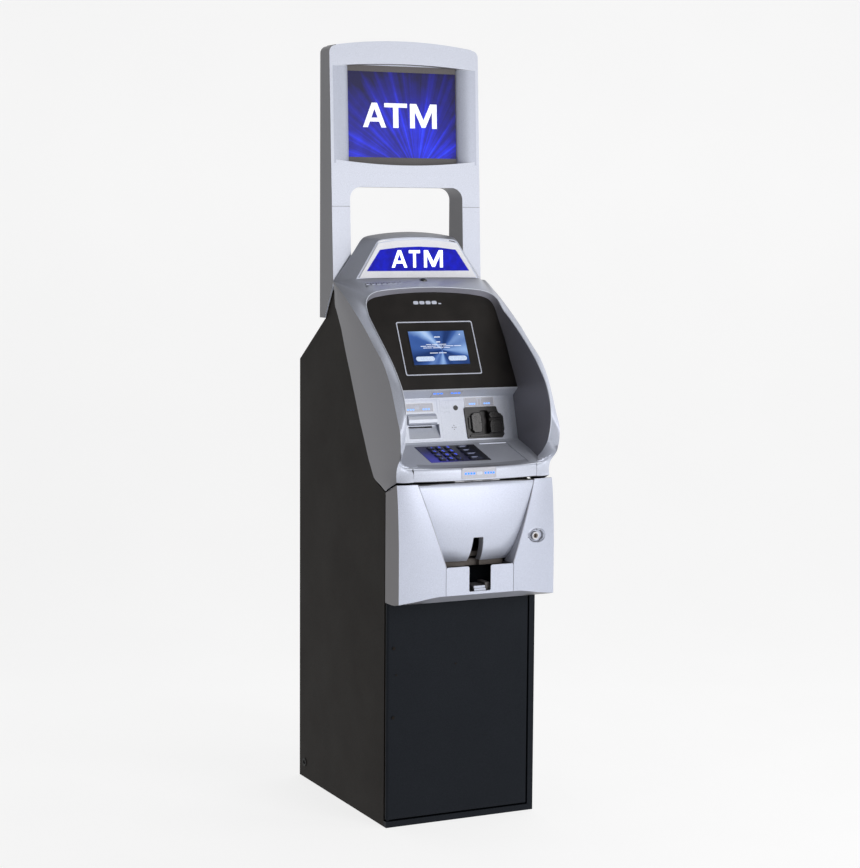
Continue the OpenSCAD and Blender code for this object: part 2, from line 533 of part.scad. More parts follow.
// key positions on the shelf: column x, distance down from the shelf's back edge
cols = [-69, -69 + key_p, -69 + 2*key_p];
fcol = 21.5;
function row_y(r) = -32 - r*row_p;
module keypad_plate() color([0.13, 0.13, 0.15]) org() on_shelf() difference() {
  union() { translate([-104, -114, -3]) cube([162, 99.5, 4]); translate([-92, -110, -14]) cube([138, 92, 11.5]); }
  for (r = [0:3]) {
    for (c = cols) translate([c - key_s/2 - 0.5, row_y(r) - key_s/2 - 0.5, -9]) cube([key_s + 1, key_s + 1, 20]);
    translate([fcol - fkey_w/2 - 0.5, row_y(r) - key_s/2 - 0.5, -9]) cube([fkey_w + 1, key_s + 1, 20]);
  }
}
module key(x, r, w) on_shelf() translate([x, row_y(r), 0]) {
  translate([0, 0, -6]) linear_extrude(9.2) rrect(-w/2, w/2, -key_s/2, key_s/2, 2);
  translate([0, 0, 3.2]) linear_extrude(1.4) rrect(-w/2 + 1.2, w/2 - 1.2, -key_s/2 + 1.2, key_s/2 - 1.2, 2);
}
module num_key(c, r) color([0.35, 0.36, 0.4]) org() key(cols[c], r, key_s);
module fn_key(r) color([0.3, 0.32, 0.38]) org() key(fcol, r, fkey_w);
module key_1() num_key(0, 0);
module key_2() num_key(1, 0);
module key_3() num_key(2, 0);
module key_4() num_key(0, 1);
module key_5() num_key(1, 1);
module key_6() num_key(2, 1);
module key_7() num_key(0, 2);
module key_8() num_key(1, 2);
module key_9() num_key(2, 2);
module key_clear_left() num_key(0, 3);
module key_0() num_key(1, 3);
module key_dot() num_key(2, 3);
module key_cancel() fn_key(0);
module key_help() fn_key(1);
module key_correct() fn_key(2);
module key_enter() fn_key(3);

trim_o = [[-164, 0], [164, 0], [110, 86], [60, 93], [0, 95.5], [-60, 93], [-110, 86]];
lens_o = [[-143, 17], [143, 17], [106, 70], [55, 76], [0, 78], [-55, 76], [-106, 70]];
module header_trim() color([0.95, 0.95, 0.97]) org() on_sign() linear_extrude(3.4) difference() {
  polygon(trim_o); offset(delta = 0.2) polygon(lens_o);
}
module header_lens() color([0.05, 0.1, 0.75]) org() on_sign() linear_extrude(2.6) polygon(lens_o);
module security_camera() color([0.05, 0.05, 0.05]) org() on_roof() {
  translate([0, 0, -16]) cylinder(r = 9.6, h = 17);
  difference() { translate([0, 0, -3]) sphere(r = 8.5); translate([-10, -10, -20]) cube([20, 20, 20.5]); }
}

cabinet_shell();
base_plate();
door_frame();
safe_top_plate();
cable_grommet();
dispenser_frame();
cash_cassette();
feed_rollers();
power_supply();
power_switch();
control_unit();
panel_hinge_fixed();
topper_housing();
topper_legs();
topper_rear_cover();
topper_display();
topper_bracket();
vault_door();
door_screws();
combination_dial();
bolt_handle();
lock_bolts();
note_nozzle();
cover_bracket();
dispenser_cover();
dispenser_bowl();
cover_lock_body();
cover_lock_plug();
fascia_shell();
display_panel();
display_screen();
user_panel();
guide_lights();
receipt_bezel();
receipt_printer();
paper_roll();
platen_roller();
card_reader_bezel();
card_reader_body();
audio_jack();
keypad_plate();
header_trim();
header_lens();
security_camera();
key_1();
key_2();
key_3();
key_4();
key_5();
key_6();
key_7();
key_8();
key_9();
key_clear_left();
key_0();
key_dot();
key_cancel();
key_help();
key_correct();
key_enter();
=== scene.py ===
import math
import bpy
import bmesh
from mathutils import Vector, Matrix


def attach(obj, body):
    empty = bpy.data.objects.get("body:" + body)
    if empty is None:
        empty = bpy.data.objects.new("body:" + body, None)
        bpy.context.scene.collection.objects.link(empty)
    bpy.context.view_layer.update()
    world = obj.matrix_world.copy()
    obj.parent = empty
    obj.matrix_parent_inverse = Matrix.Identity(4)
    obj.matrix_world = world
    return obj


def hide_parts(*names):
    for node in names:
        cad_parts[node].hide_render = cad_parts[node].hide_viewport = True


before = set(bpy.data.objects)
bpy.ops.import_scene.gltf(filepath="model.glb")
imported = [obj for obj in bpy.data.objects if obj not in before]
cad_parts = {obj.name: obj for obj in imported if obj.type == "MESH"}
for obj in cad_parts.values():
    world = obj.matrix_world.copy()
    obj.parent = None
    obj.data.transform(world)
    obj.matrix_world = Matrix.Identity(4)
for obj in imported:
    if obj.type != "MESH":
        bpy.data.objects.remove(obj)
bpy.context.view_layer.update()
OY = 276.5
pi = math.pi


def W(p):
    """front-frame millimetres to row-frame metres"""
    return (p[0] / 1000.0, (p[1] - OY) / 1000.0, p[2] / 1000.0)


# ------------------------------------------------------------------ local frames (mm)
def _frame(o, ang):
    c, s = math.cos(math.radians(ang)), math.sin(math.radians(ang))
    return lambda x, y, z=0.0: (o[0] + x, o[1] + y * c - z * s, o[2] + y * s + z * c)


LCD = _frame((0, 139.5, 1162), 63.5)
PAN = _frame((0, 81, 934), 74.2)
SHE = _frame((0, 74, 929), 16)
LED = _frame((0, 111, 1040), 140)
SGN = _frame((0, 263, 1332), 86.8)
ROOF = _frame((0, 241, 1326.7), 26)
_tc, _ts = math.cos(math.radians(-2.77)), math.sin(math.radians(-2.77))


def TOP(x, z, n=0.0):
    """leaning front of the topper: x, height up the front, n outwards"""
    y = -n
    return (x, 331 + y * _tc - z * _ts, 1510 + y * _ts + z * _tc)


def FRONT(x, z, n=0.0, y0=0.0):
    return (x, y0 - n, z)


# ------------------------------------------------------------------ materials
def _new(name):
    m = bpy.data.materials.new(name)
    m.use_nodes = True
    nt = m.node_tree
    nt.nodes.clear()
    out = nt.nodes.new("ShaderNodeOutputMaterial")
    b = nt.nodes.new("ShaderNodeBsdfPrincipled")
    nt.links.new(b.outputs[0], out.inputs[0])
    return m, nt, b


def _coord(nt):
    return nt.nodes.new("ShaderNodeTexCoord").outputs["Object"]


def _noise(nt, vec, scale, detail=4.0, rough=0.5):
    n = nt.nodes.new("ShaderNodeTexNoise")
    n.inputs["Scale"].default_value = scale
    n.inputs["Detail"].default_value = detail
    n.inputs["Roughness"].default_value = rough
    nt.links.new(vec, n.inputs["Vector"])
    return n.outputs["Fac"]


def _ramp(nt, fac, stops):
    r = nt.nodes.new("ShaderNodeValToRGB")
    cr = r.color_ramp
    cr.elements[0].position, cr.elements[0].color = stops[0][0], (*stops[0][1], 1)
    cr.elements[1].position, cr.elements[1].color = stops[-1][0], (*stops[-1][1], 1)
    for p, c in stops[1:-1]:
        e = cr.elements.new(p)
        e.color = (*c, 1)
    nt.links.new(fac, r.inputs[0])
    return r.outputs[0]


def _math(nt, op, a, b=None, clamp=False):
    n = nt.nodes.new("ShaderNodeMath")
    n.operation = op
    n.use_clamp = clamp
    for i, v in enumerate((a, b)):
        if v is None:
            continue
        if isinstance(v, (int, float)):
            n.inputs[i].default_value = v
        else:
            nt.links.new(v, n.inputs[i])
    return n.outputs[0]


def _mix(nt, fac, a, b, blend="MIX"):
    n = nt.nodes.new("ShaderNodeMix")
    n.data_type = "RGBA"
    n.blend_type = blend
    if isinstance(fac, (int, float)):
        n.inputs[0].default_value = fac
    else:
        nt.links.new(fac, n.inputs[0])
    for i, v in ((6, a), (7, b)):
        if isinstance(v, tuple):
            n.inputs[i].default_value = (*v, 1)
        else:
            nt.links.new(v, n.inputs[i])
    return n.outputs[2]


def _bump(nt, b, height, strength, dist):
    n = nt.nodes.new("ShaderNodeBump")
    n.inputs["Strength"].default_value = strength
    n.inputs["Distance"].default_value = dist
    nt.links.new(height, n.inputs["Height"])
    nt.links.new(n.outputs[0], b.inputs["Normal"])


def grainy(name, dark, light, painted_shade, metallic=0.35, rough=0.42, grain=900.0, bump=0.10, painted_shade_amt=0.8, lo=0.25, hi=0.85):
    """granular metallic paint: fine flakes, soft mottling, and painted shade: faces turned up or sideways take a
    warmer, darker painted-shade colour picked by their normal
    """
    m, nt, b = _new(name)
    v = _coord(nt)
    flake = _noise(nt, v, grain, 2.0, 0.6)
    mott = _noise(nt, v, 14.0, 3.0, 0.5)
    base = _ramp(nt, flake, [(0.30, dark), (0.72, light)])
    base = _mix(nt, _math(nt, "MULTIPLY", mott, 0.10), base, tuple(c * 0.8 for c in dark))
    tc = nt.nodes.new("ShaderNodeTexCoord")
    sep = nt.nodes.new("ShaderNodeSeparateXYZ")
    nt.links.new(tc.outputs["Normal"], sep.inputs[0])
    # painted shade: faces that look forward stay pale, the rest turn to the painted-shade colour
    fwd = _math(nt, "MULTIPLY", sep.outputs[1], -1.0)
    f = nt.nodes.new("ShaderNodeMapRange")
    f.inputs[1].default_value = lo
    f.inputs[2].default_value = hi
    f.inputs[3].default_value = painted_shade_amt
    f.inputs[4].default_value = 0.0
    f.clamp = True
    nt.links.new(fwd, f.inputs[0])
    base = _mix(nt, f.outputs[0], base, _ramp(nt, flake, [(0.3, tuple(c * 0.9 for c in painted_shade)), (0.72, tuple(min(1, c * 1.1) for c in painted_shade))]))
    nt.links.new(base, b.inputs["Base Color"])
    b.inputs["Metallic"].default_value = metallic
    r = _math(nt, "ADD", _math(nt, "MULTIPLY", flake, 0.12), rough - 0.06)
    nt.links.new(r, b.inputs["Roughness"])
    b.inputs["Coat Weight"].default_value = 0.05
    b.inputs["Coat Roughness"].default_value = 0.35
    b.inputs["Specular IOR Level"].default_value = 0.28
    _bump(nt, b, flake, bump, 0.0006)
    return m


def coat(name, dark, light, rough=0.5, grain=520.0, bump=0.18, metallic=0.0, spec=0.4):
    """powder coat: orange-peel grain with a faint cloud and dust-pale speckle"""
    m, nt, b = _new(name)
    v = _coord(nt)
    g = _noise(nt, v, grain, 3.0, 0.6)
    c = _noise(nt, v, 7.0, 4.0, 0.6)
    base = _ramp(nt, g, [(0.3, dark), (0.75, light)])
    base = _mix(nt, _math(nt, "MULTIPLY", c, 0.35), base, tuple(x * 0.82 for x in dark))
    nt.links.new(base, b.inputs["Base Color"])
    nt.links.new(_math(nt, "ADD", _math(nt, "MULTIPLY", c, 0.14), rough - 0.07), b.inputs["Roughness"])
    b.inputs["Metallic"].default_value = metallic
    b.inputs["Specular IOR Level"].default_value = spec
    _bump(nt, b, g, bump, 0.0008)
    return m


def plastic(name, dark, light, rough=0.35, grain=700.0, bump=0.06, coatw=0.0, metallic=0.0):
    m, nt, b = _new(name)
    v = _coord(nt)
    g = _noise(nt, v, grain, 3.0, 0.5)
    c = _noise(nt, v, 20.0, 2.0, 0.5)
    base = _ramp(nt, _math(nt, "ADD", _math(nt, "MULTIPLY", g, 0.6), _math(nt, "MULTIPLY", c, 0.4)), [(0.35, dark), (0.65, light)])
    nt.links.new(base, b.inputs["Base Color"])
    nt.links.new(_math(nt, "ADD", _math(nt, "MULTIPLY", c, 0.10), rough - 0.05), b.inputs["Roughness"])
    b.inputs["Metallic"].default_value = metallic
    b.inputs["Coat Weight"].default_value = coatw
    b.inputs["Coat Roughness"].default_value = 0.12
    _bump(nt, b, g, bump, 0.0004)
    return m


def steel(name, dark, light, rough=0.32):
    m, nt, b = _new(name)
    v = _coord(nt)
    mp = nt.nodes.new("ShaderNodeMapping")
    mp.inputs["Scale"].default_value = (4.0, 60.0, 400.0)
    nt.links.new(v, mp.inputs["Vector"])
    g = _noise(nt, mp.outputs[0], 6.0, 4.0, 0.6)
    c = _noise(nt, v, 30.0, 3.0, 0.5)
    nt.links.new(_ramp(nt, g, [(0.3, dark), (0.7, light)]), b.inputs["Base Color"])
    nt.links.new(_math(nt, "ADD", _math(nt, "MULTIPLY", c, 0.2), rough - 0.1), b.inputs["Roughness"])
    b.inputs["Metallic"].default_value = 0.95
    _bump(nt, b, g, 0.08, 0.0003)
    return m


def glow(name, dark, light, strength, scale=300.0, rough=0.25):
    """lit lens or printed lit mark with slight unevenness"""
    m, nt, b = _new(name)
    v = _coord(nt)
    g = _noise(nt, v, scale, 2.0, 0.5)
    col = _ramp(nt, g, [(0.3, dark), (0.7, light)])
    nt.links.new(col, b.inputs["Base Color"])
    nt.links.new(col, b.inputs["Emission Color"])
    b.inputs["Emission Strength"].default_value = strength
    nt.links.new(_math(nt, "ADD", _math(nt, "MULTIPLY", g, 0.1), rough), b.inputs["Roughness"])
    b.inputs["Specular IOR Level"].default_value = 0.12
    return m


def rays(name, centre, right, up, half_w, half_h, strength=1.0):
    """lit blue advertising picture: radial light rays, darker corners"""
    m, nt, b = _new(name)
    v = _coord(nt)
    sub = nt.nodes.new("ShaderNodeVectorMath")
    sub.operation = "SUBTRACT"
    sub.inputs[1].default_value = centre
    nt.links.new(v, sub.inputs[0])

    def dot(vec):
        d = nt.nodes.new("ShaderNodeVectorMath")
        d.operation = "DOT_PRODUCT"
        d.inputs[1].default_value = vec
        nt.links.new(sub.outputs[0], d.inputs[0])
        return d.outputs["Value"]
    x, y = dot(right), dot(up)
    ang = _math(nt, "ARCTAN2", _math(nt, "ADD", x, -half_w * 0.25), _math(nt, "ADD", y, half_h * 1.3))
    comb = nt.nodes.new("ShaderNodeCombineXYZ")
    nt.links.new(_math(nt, "MULTIPLY", ang, 5.5), comb.inputs[0])
    ry = _noise(nt, comb.outputs[0], 1.6, 3.0, 0.55)
    r2 = _math(nt, "ADD", _math(nt, "POWER", _math(nt, "ABSOLUTE", _math(nt, "DIVIDE", x, half_w)), 2.0),
               _math(nt, "POWER", _math(nt, "ABSOLUTE", _math(nt, "DIVIDE", y, half_h)), 2.0))
    cloud = _noise(nt, v, 9.0, 4.0, 0.6)
    t = _math(nt, "ADD", _math(nt, "ADD", _math(nt, "MULTIPLY", ry, 0.75), _math(nt, "MULTIPLY", cloud, 0.45)), _math(nt, "ADD", _math(nt, "MULTIPLY", r2, -0.10), _math(nt, "MULTIPLY", y, -1.1)))
    col = _ramp(nt, t, [(0.34, (0.003, 0.002, 0.035)), (0.56, (0.006, 0.006, 0.20)), (0.74, (0.012, 0.02, 0.55)), (0.98, (0.03, 0.16, 0.95))])
    nt.links.new(col, b.inputs["Base Color"])
    nt.links.new(col, b.inputs["Emission Color"])
    b.inputs["Emission Strength"].default_value = strength
    nt.links.new(_math(nt, "ADD", _math(nt, "MULTIPLY", cloud, 0.05), 0.22), b.inputs["Roughness"])
    b.inputs["Specular IOR Level"].default_value = 0.15
    return m


MAT = {}
MAT["silver"] = grainy("silver_metallic", (0.60, 0.635, 0.735), (0.80, 0.845, 0.97), (0.066, 0.055, 0.049), 0.24, 0.40, lo=0.10, hi=0.60)
MAT["silver_top"] = grainy("silver_topper", (0.62, 0.65, 0.74), (0.82, 0.86, 0.97), (0.066, 0.057, 0.052), 0.16, 0.40)
# copy of the topper silver for the display recess coves, a little darker, with a pale painted-shade colour so their
# sideways facing adds almost no painted shade
MAT["silver_cove"] = grainy("silver_cove", (0.48, 0.51, 0.60), (0.68, 0.72, 0.84), (0.50, 0.53, 0.62), 0.15, 0.42)
# brighter copy of the silver with a pale painted-shade colour: painted light on the shelf, panel and other faces turned
# up
MAT["silver_flat"] = grainy("silver_metallic_face", (0.66, 0.70, 0.80), (0.88, 0.92, 1.0), (0.36, 0.37, 0.42), 0.25, 0.42, painted_shade_amt=0.6)
MAT["cab"] = coat("charcoal_coat", (0.010, 0.0080, 0.0065), (0.024, 0.0195, 0.016), 0.60, spec=0.10)
MAT["door"] = coat("navy_coat", (0.0065, 0.0085, 0.0125), (0.0150, 0.0190, 0.0260), 0.55, spec=0.12)
MAT["black"] = plastic("black_moulding", (0.008, 0.008, 0.008), (0.022, 0.021, 0.020), 0.30, 600, 0.08)
MAT["dark"] = plastic("dark_grey_plastic", (0.035, 0.036, 0.040), (0.065, 0.067, 0.074), 0.42)
MAT["surround"] = plastic("display_surround", (0.0085, 0.0068, 0.0058), (0.019, 0.0155, 0.013), 0.36, 900, 0.05)
MAT["steel"] = steel("plated_steel", (0.42, 0.42, 0.44), (0.68, 0.68, 0.70))
MAT["brass"] = steel("lock_cylinder", (0.06, 0.05, 0.045), (0.20, 0.17, 0.15), 0.25)
MAT["rubber"] = plastic("rubber_black", (0.012, 0.012, 0.012), (0.03, 0.03, 0.03), 0.75, 300, 0.2)
MAT["white"] = plastic("white_trim", (0.80, 0.81, 0.86), (0.93, 0.94, 0.98), 0.30, 700, 0.04, 0.2)
MAT["paper"] = plastic("receipt_paper", (0.78, 0.77, 0.74), (0.92, 0.91, 0.88), 0.8, 400, 0.15)
MAT["nozzle"] = coat("nozzle_paint", (0.10, 0.085, 0.075), (0.17, 0.15, 0.135), 0.5)
MAT["blue_lens"] = glow("blue_lit_lens", (0.0015, 0.002, 0.26), (0.003, 0.006, 0.44), 0.62, 60.0, 0.4)
MAT["lamp"] = glow("white_lit_letters", (0.86, 0.93, 1.0), (0.95, 1.0, 1.0), 1.15)
MAT["led"] = glow("blue_led", (0.01, 0.12, 0.95), (0.04, 0.26, 1.0), 1.5, 900.0)
MAT["led_pale"] = glow("pale_led", (0.12, 0.34, 1.0), (0.26, 0.50, 1.0), 1.0, 900.0)
MAT["frost"] = plastic("frosted_label", (0.50, 0.51, 0.57), (0.62, 0.63, 0.70), 0.30, 500, 0.03, 0.3)
MAT["key"] = plastic("key_metal", (0.014, 0.016, 0.034), (0.030, 0.033, 0.062), 0.30, 800, 0.06, 0.2, 0.3)
MAT["keyglyph"] = glow("key_glyph", (0.03, 0.05, 0.80), (0.08, 0.14, 0.95), 0.9, 800.0)
MAT["glyph_pale"] = glow("key_caption", (0.25, 0.28, 0.45), (0.40, 0.44, 0.62), 0.3, 800.0)
MAT["lens"] = plastic("camera_lens", (0.004, 0.004, 0.005), (0.012, 0.012, 0.015), 0.08, 200, 0.0, 0.6)
MAT["gunmetal"] = plastic("reader_gunmetal", (0.010, 0.0095, 0.009), (0.026, 0.025, 0.024), 0.26, 500, 0.08, 0.22, 0.1)
MAT["screen_text"] = glow("screen_text", (0.62, 0.68, 0.82), (0.80, 0.86, 0.96), 0.45, 500.0)
MAT["ad_letter"] = glow("advert_letters", (0.80, 0.82, 0.90), (0.92, 0.94, 1.0), 0.55, 80.0)
MAT["button"] = glow("screen_button", (0.40, 0.50, 0.68), (0.62, 0.72, 0.88), 0.5, 400.0)
MAT["lamp_soft"] = glow("shelf_light_strip", (0.70, 0.74, 0.86), (0.86, 0.90, 1.0), 0.35)
MAT["line"] = plastic("silver_line", (0.62, 0.66, 0.78), (0.80, 0.84, 0.95), 0.35, 900, 0.03)


# ------------------------------------------------------------------ mesh helpers
def smooth_by_angle(o, deg=32):
    """sharp edges by angle, smooth elsewhere (mesh attributes only)"""
    me = o.data
    bm = bmesh.new()
    bm.from_mesh(me)
    lim = math.radians(deg)
    for f in bm.faces:
        f.smooth = True
    for e in bm.edges:
        if len(e.link_faces) == 2:
            e.smooth = e.calc_face_angle(0) < lim
        else:
            e.smooth = False
    bm.to_mesh(me)
    bm.free()


def make(name, verts, faces, mat, body, merge=0.0, smooth=32):
    me = bpy.data.meshes.new(name)
    me.from_pydata([W(v) for v in verts], [], faces)
    me.validate()
    o = bpy.data.objects.new(name, me)
    bpy.context.collection.objects.link(o)
    bm = bmesh.new()
    bm.from_mesh(me)
    if merge:
        bmesh.ops.remove_doubles(bm, verts=bm.verts, dist=merge / 1000.0)
    bmesh.ops.recalc_face_normals(bm, faces=bm.faces)
    bm.to_mesh(me)
    bm.free()
    me.materials.append(MAT[mat] if isinstance(mat, str) else mat)
    if smooth:
        smooth_by_angle(o, smooth)
    if body:
        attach(o, body)
    return o


def bevel(o, w, seg=3, ang=35, harden=True):
    m = o.modifiers.new("bevel", "BEVEL")
    m.width = w / 1000.0
    m.segments = seg
    m.limit_method = "ANGLE"
    m.angle_limit = math.radians(ang)
    m.harden_normals = harden
    m.miter_outer = "MITER_ARC"
    return o


def rrect(x0, x1, y0, y1, r, n=6):
    pts = []
    for cx, cy, a0 in ((x1 - r, y1 - r, 0), (x0 + r, y1 - r, 90), (x0 + r, y0 + r, 180), (x1 - r, y0 + r, 270)):
        for i in range(n + 1):
            a = math.radians(a0 + 90.0 * i / n)
            pts.append((cx + r * math.cos(a), cy + r * math.sin(a)))
    return pts


def circ(cx, cy, r, n=32):
    return [(cx + r * math.cos(2 * pi * i / n), cy + r * math.sin(2 * pi * i / n)) for i in range(n)]


def round_poly(pts, r, n=5):
    """rounds the corners of a polygon; r may be a number or one radius per corner"""
    out = []
    k = len(pts)
    for i in range(k):
        a, b, c = Vector(pts[i - 1]), Vector(pts[i]), Vector(pts[(i + 1) % k])
        rr = r[i] if isinstance(r, (list, tuple)) else r
        u, v = (a - b), (c - b)
        lu, lv = u.length, v.length
        if rr <= 0 or lu < 1e-6 or lv < 1e-6:
            out.append(tuple(b))
            continue
        u /= lu
        v /= lv
        cosang = max(-1, min(1, u.dot(v)))
        half = math.acos(cosang) / 2
        d = min(rr / max(math.tan(half), 1e-6), lu * 0.49, lv * 0.49)
        p0, p1 = b + u * d, b + v * d
        for j in range(n + 1):
            t = j / n
            q = p0 * (1 - t) ** 2 + b * 2 * t * (1 - t) + p1 * t ** 2
            out.append(tuple(q))
    return out


def slab(name, fr, outline, z0, z1, mat, body, bev=0.4, seg=2, holes=(), smooth=32):
    """extruded outline in a local frame, with optional holes, softened edges"""
    loops = [list(outline)] + [list(h) for h in holes]
    bm = bmesh.new()
    edges = []
    for lp in loops:
        vs = [bm.verts.new((p[0], p[1], 0)) for p in lp]
        for i in range(len(vs)):
            edges.append(bm.edges.new((vs[i], vs[(i + 1) % len(vs)])))
    if holes:
        bmesh.ops.triangle_fill(bm, use_beauty=True, use_dissolve=False, edges=edges)
    else:
        bm.faces.new(list(bm.verts))
    geo = bmesh.ops.extrude_face_region(bm, geom=list(bm.faces))
    top = [g for g in geo["geom"] if isinstance(g, bmesh.types.BMVert)]
    for v in top:
        v.co.z = 1.0
    bm.verts.ensure_lookup_table()
    verts = []
    for v in bm.verts:
        zz = z1 if v.co.z > 0.5 else z0
        verts.append(fr(v.co.x, v.co.y, zz))
    faces = [[v.index for v in f.verts] for f in bm.faces]
    bm.verts.index_update()
    faces = [[v.index for v in f.verts] for f in bm.faces]
    bm.free()
    o = make(name, verts, faces, mat, body, smooth=smooth)
    if bev:
        bevel(o, bev, seg)
    return o


def grid(rows, closed=False):
    verts, faces = [], []
    n = len(rows[0])
    for r in rows:
        verts += r
    for i in range(len(rows) - 1):
        for j in range(n - 1 if not closed else n):
            a, b = i * n + j, i * n + (j + 1) % n
            faces.append((a, b, b + n, a + n))
    return verts, faces


def lerp(a, b, t):
    return tuple(x + (y - x) * t for x, y in zip(a, b))


def catmull(pts, per=6):
    """smooth curve through points"""
    out = []
    n = len(pts)
    for i in range(n - 1):
        p0 = pts[max(i - 1, 0)]
        p1, p2 = pts[i], pts[i + 1]
        p3 = pts[min(i + 2, n - 1)]
        for k in range(per):
            t = k / per
            out.append(tuple(0.5 * ((2 * b) + (-a + c) * t + (2 * a - 5 * b + 4 * c - d) * t * t + (-a + 3 * b - 3 * c + d) * t ** 3)
                             for a, b, c, d in zip(p0, p1, p2, p3)))
    out.append(tuple(pts[-1]))
    return out


def mirrored(verts, faces):
    n = len(verts)
    v2 = [(-x, y, z) for x, y, z in verts]
    f2 = [tuple(n + i for i in reversed(f)) for f in faces]
    return verts + v2, faces + f2


# ------------------------------------------------------------------ carried-over CAD nodes
NODE_MAT = {
    "cabinet_shell": "cab", "base_plate": "cab", "door_frame": "door", "safe_top_plate": "cab", "cable_grommet": "rubber",
    "dispenser_frame": "steel", "cash_cassette": "dark", "feed_rollers": "rubber", "power_supply": "steel", "power_switch": "black",
    "control_unit": "steel", "panel_hinge_fixed": "steel", "topper_housing": "silver_top", "topper_legs": "silver_top",
    "topper_rear_cover": "silver_top", "topper_display": "surround", "topper_bracket": "cab", "vault_door": "door", "door_screws": "cab",
    "combination_dial": "black", "bolt_handle": "steel", "lock_bolts": "steel", "note_nozzle": "nozzle", "cover_bracket": "steel",
    "dispenser_cover": "silver", "dispenser_bowl": "silver", "cover_lock_body": "steel", "cover_lock_plug": "brass",
    "fascia_shell": "silver", "display_panel": "surround", "display_screen": "surround", "user_panel": "silver_flat", "guide_lights": "frost",
    "receipt_bezel": "silver_flat", "receipt_printer": "dark", "paper_roll": "paper", "platen_roller": "rubber",
    "card_reader_bezel": "black", "card_reader_body": "dark", "audio_jack": "steel", "keypad_plate": "black",
    "header_trim": "white", "header_lens": "blue_lens", "security_camera": "lens"}
for name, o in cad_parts.items():
    key = NODE_MAT.get(name, "key")
    o.data.materials.clear()
    o.data.materials.append(MAT[key])
    smooth_by_angle(o, 30)
    if name not in ("cabinet_shell", "display_panel", "display_screen", "guide_lights", "door_screws", "topper_display"):
        bevel(o, 0.6 if name.startswith("key_") else 0.8, 2, 40)
    if name == "cabinet_shell":
        bevel(o, 0.8, 2, 40)

# ------------------------------------------------------------------ control panel hood
# stations up one wing: outer ridge (x,y,z), inner rim (x,y,z), seam with the cabinet (y,z)
ST = [
    ((207, -60, 857), (166, -69.5, 857), (7, 829)),
    ((207, -57.5, 864), (166.5, -69.0, 866), (18, 833)),
    ((207, -57.5, 876), (167.5, -67.5, 879), (36, 840)),
    ((207.6, -61.5, 889), (172.0, -60, 889), (55, 846)),
    ((208.8, -69.5, 899), (180.5, -46, 896), (66, 850)),
    ((210.0, -79, 908), (188.5, -40, 904), (75, 856)),
    ((211.5, -88.5, 920), (193.0, -53, 918), (84, 867)),
    ((213.0, -94.5, 940), (194.6, -71, 940), (95, 882)),
    ((214.0, -96.6, 957), (195, -80, 962), (106, 896)),
    ((214.3, -96.2, 972), (195, -85, 984), (120, 920)),
    ((214.4, -90, 988), (195, -86.5, 1003), (132, 941)),
    ((214.4, -79, 1008), (195, -84, 1024), (144, 961)),
    ((214.4, -61, 1043), (195, -77.5, 1048), (162, 991)),
    ((214.4, -38, 1086), (195, -60, 1080), (183, 1031)),
    ((214.4, -20, 1110), (195, -36, 1107), (203, 1068)),
    ((214.4, 8, 1140), (195, 0, 1141), (221, 1102)),
    ((214.4, 60, 1176), (194.6, 55, 1182), (244, 1143)),
    ((214.4, 106, 1210), (193.2, 100, 1213.5), (265, 1184)),
]


RIM_UP = [(190.8, 137, 1238.4), (188.6, 152, 1248.8)] + [LCD(x, s, n) for x, s, n in [(186.2, 104, 21), (182.8, 119, 19), (176.2, 130, 17.5), (168, 138, 16), (156, 144.5, 15), (140, 149, 15), (116, 152, 15), (88, 154.5, 15), (60, 156.3, 15), (30, 157.6, 15), (0, 158, 15)]]


def sub(a, b, n):
    return [lerp(a, b, i / n) for i in range(n)]


def smooth_path(pts, per=4):
    return catmull(pts, per)


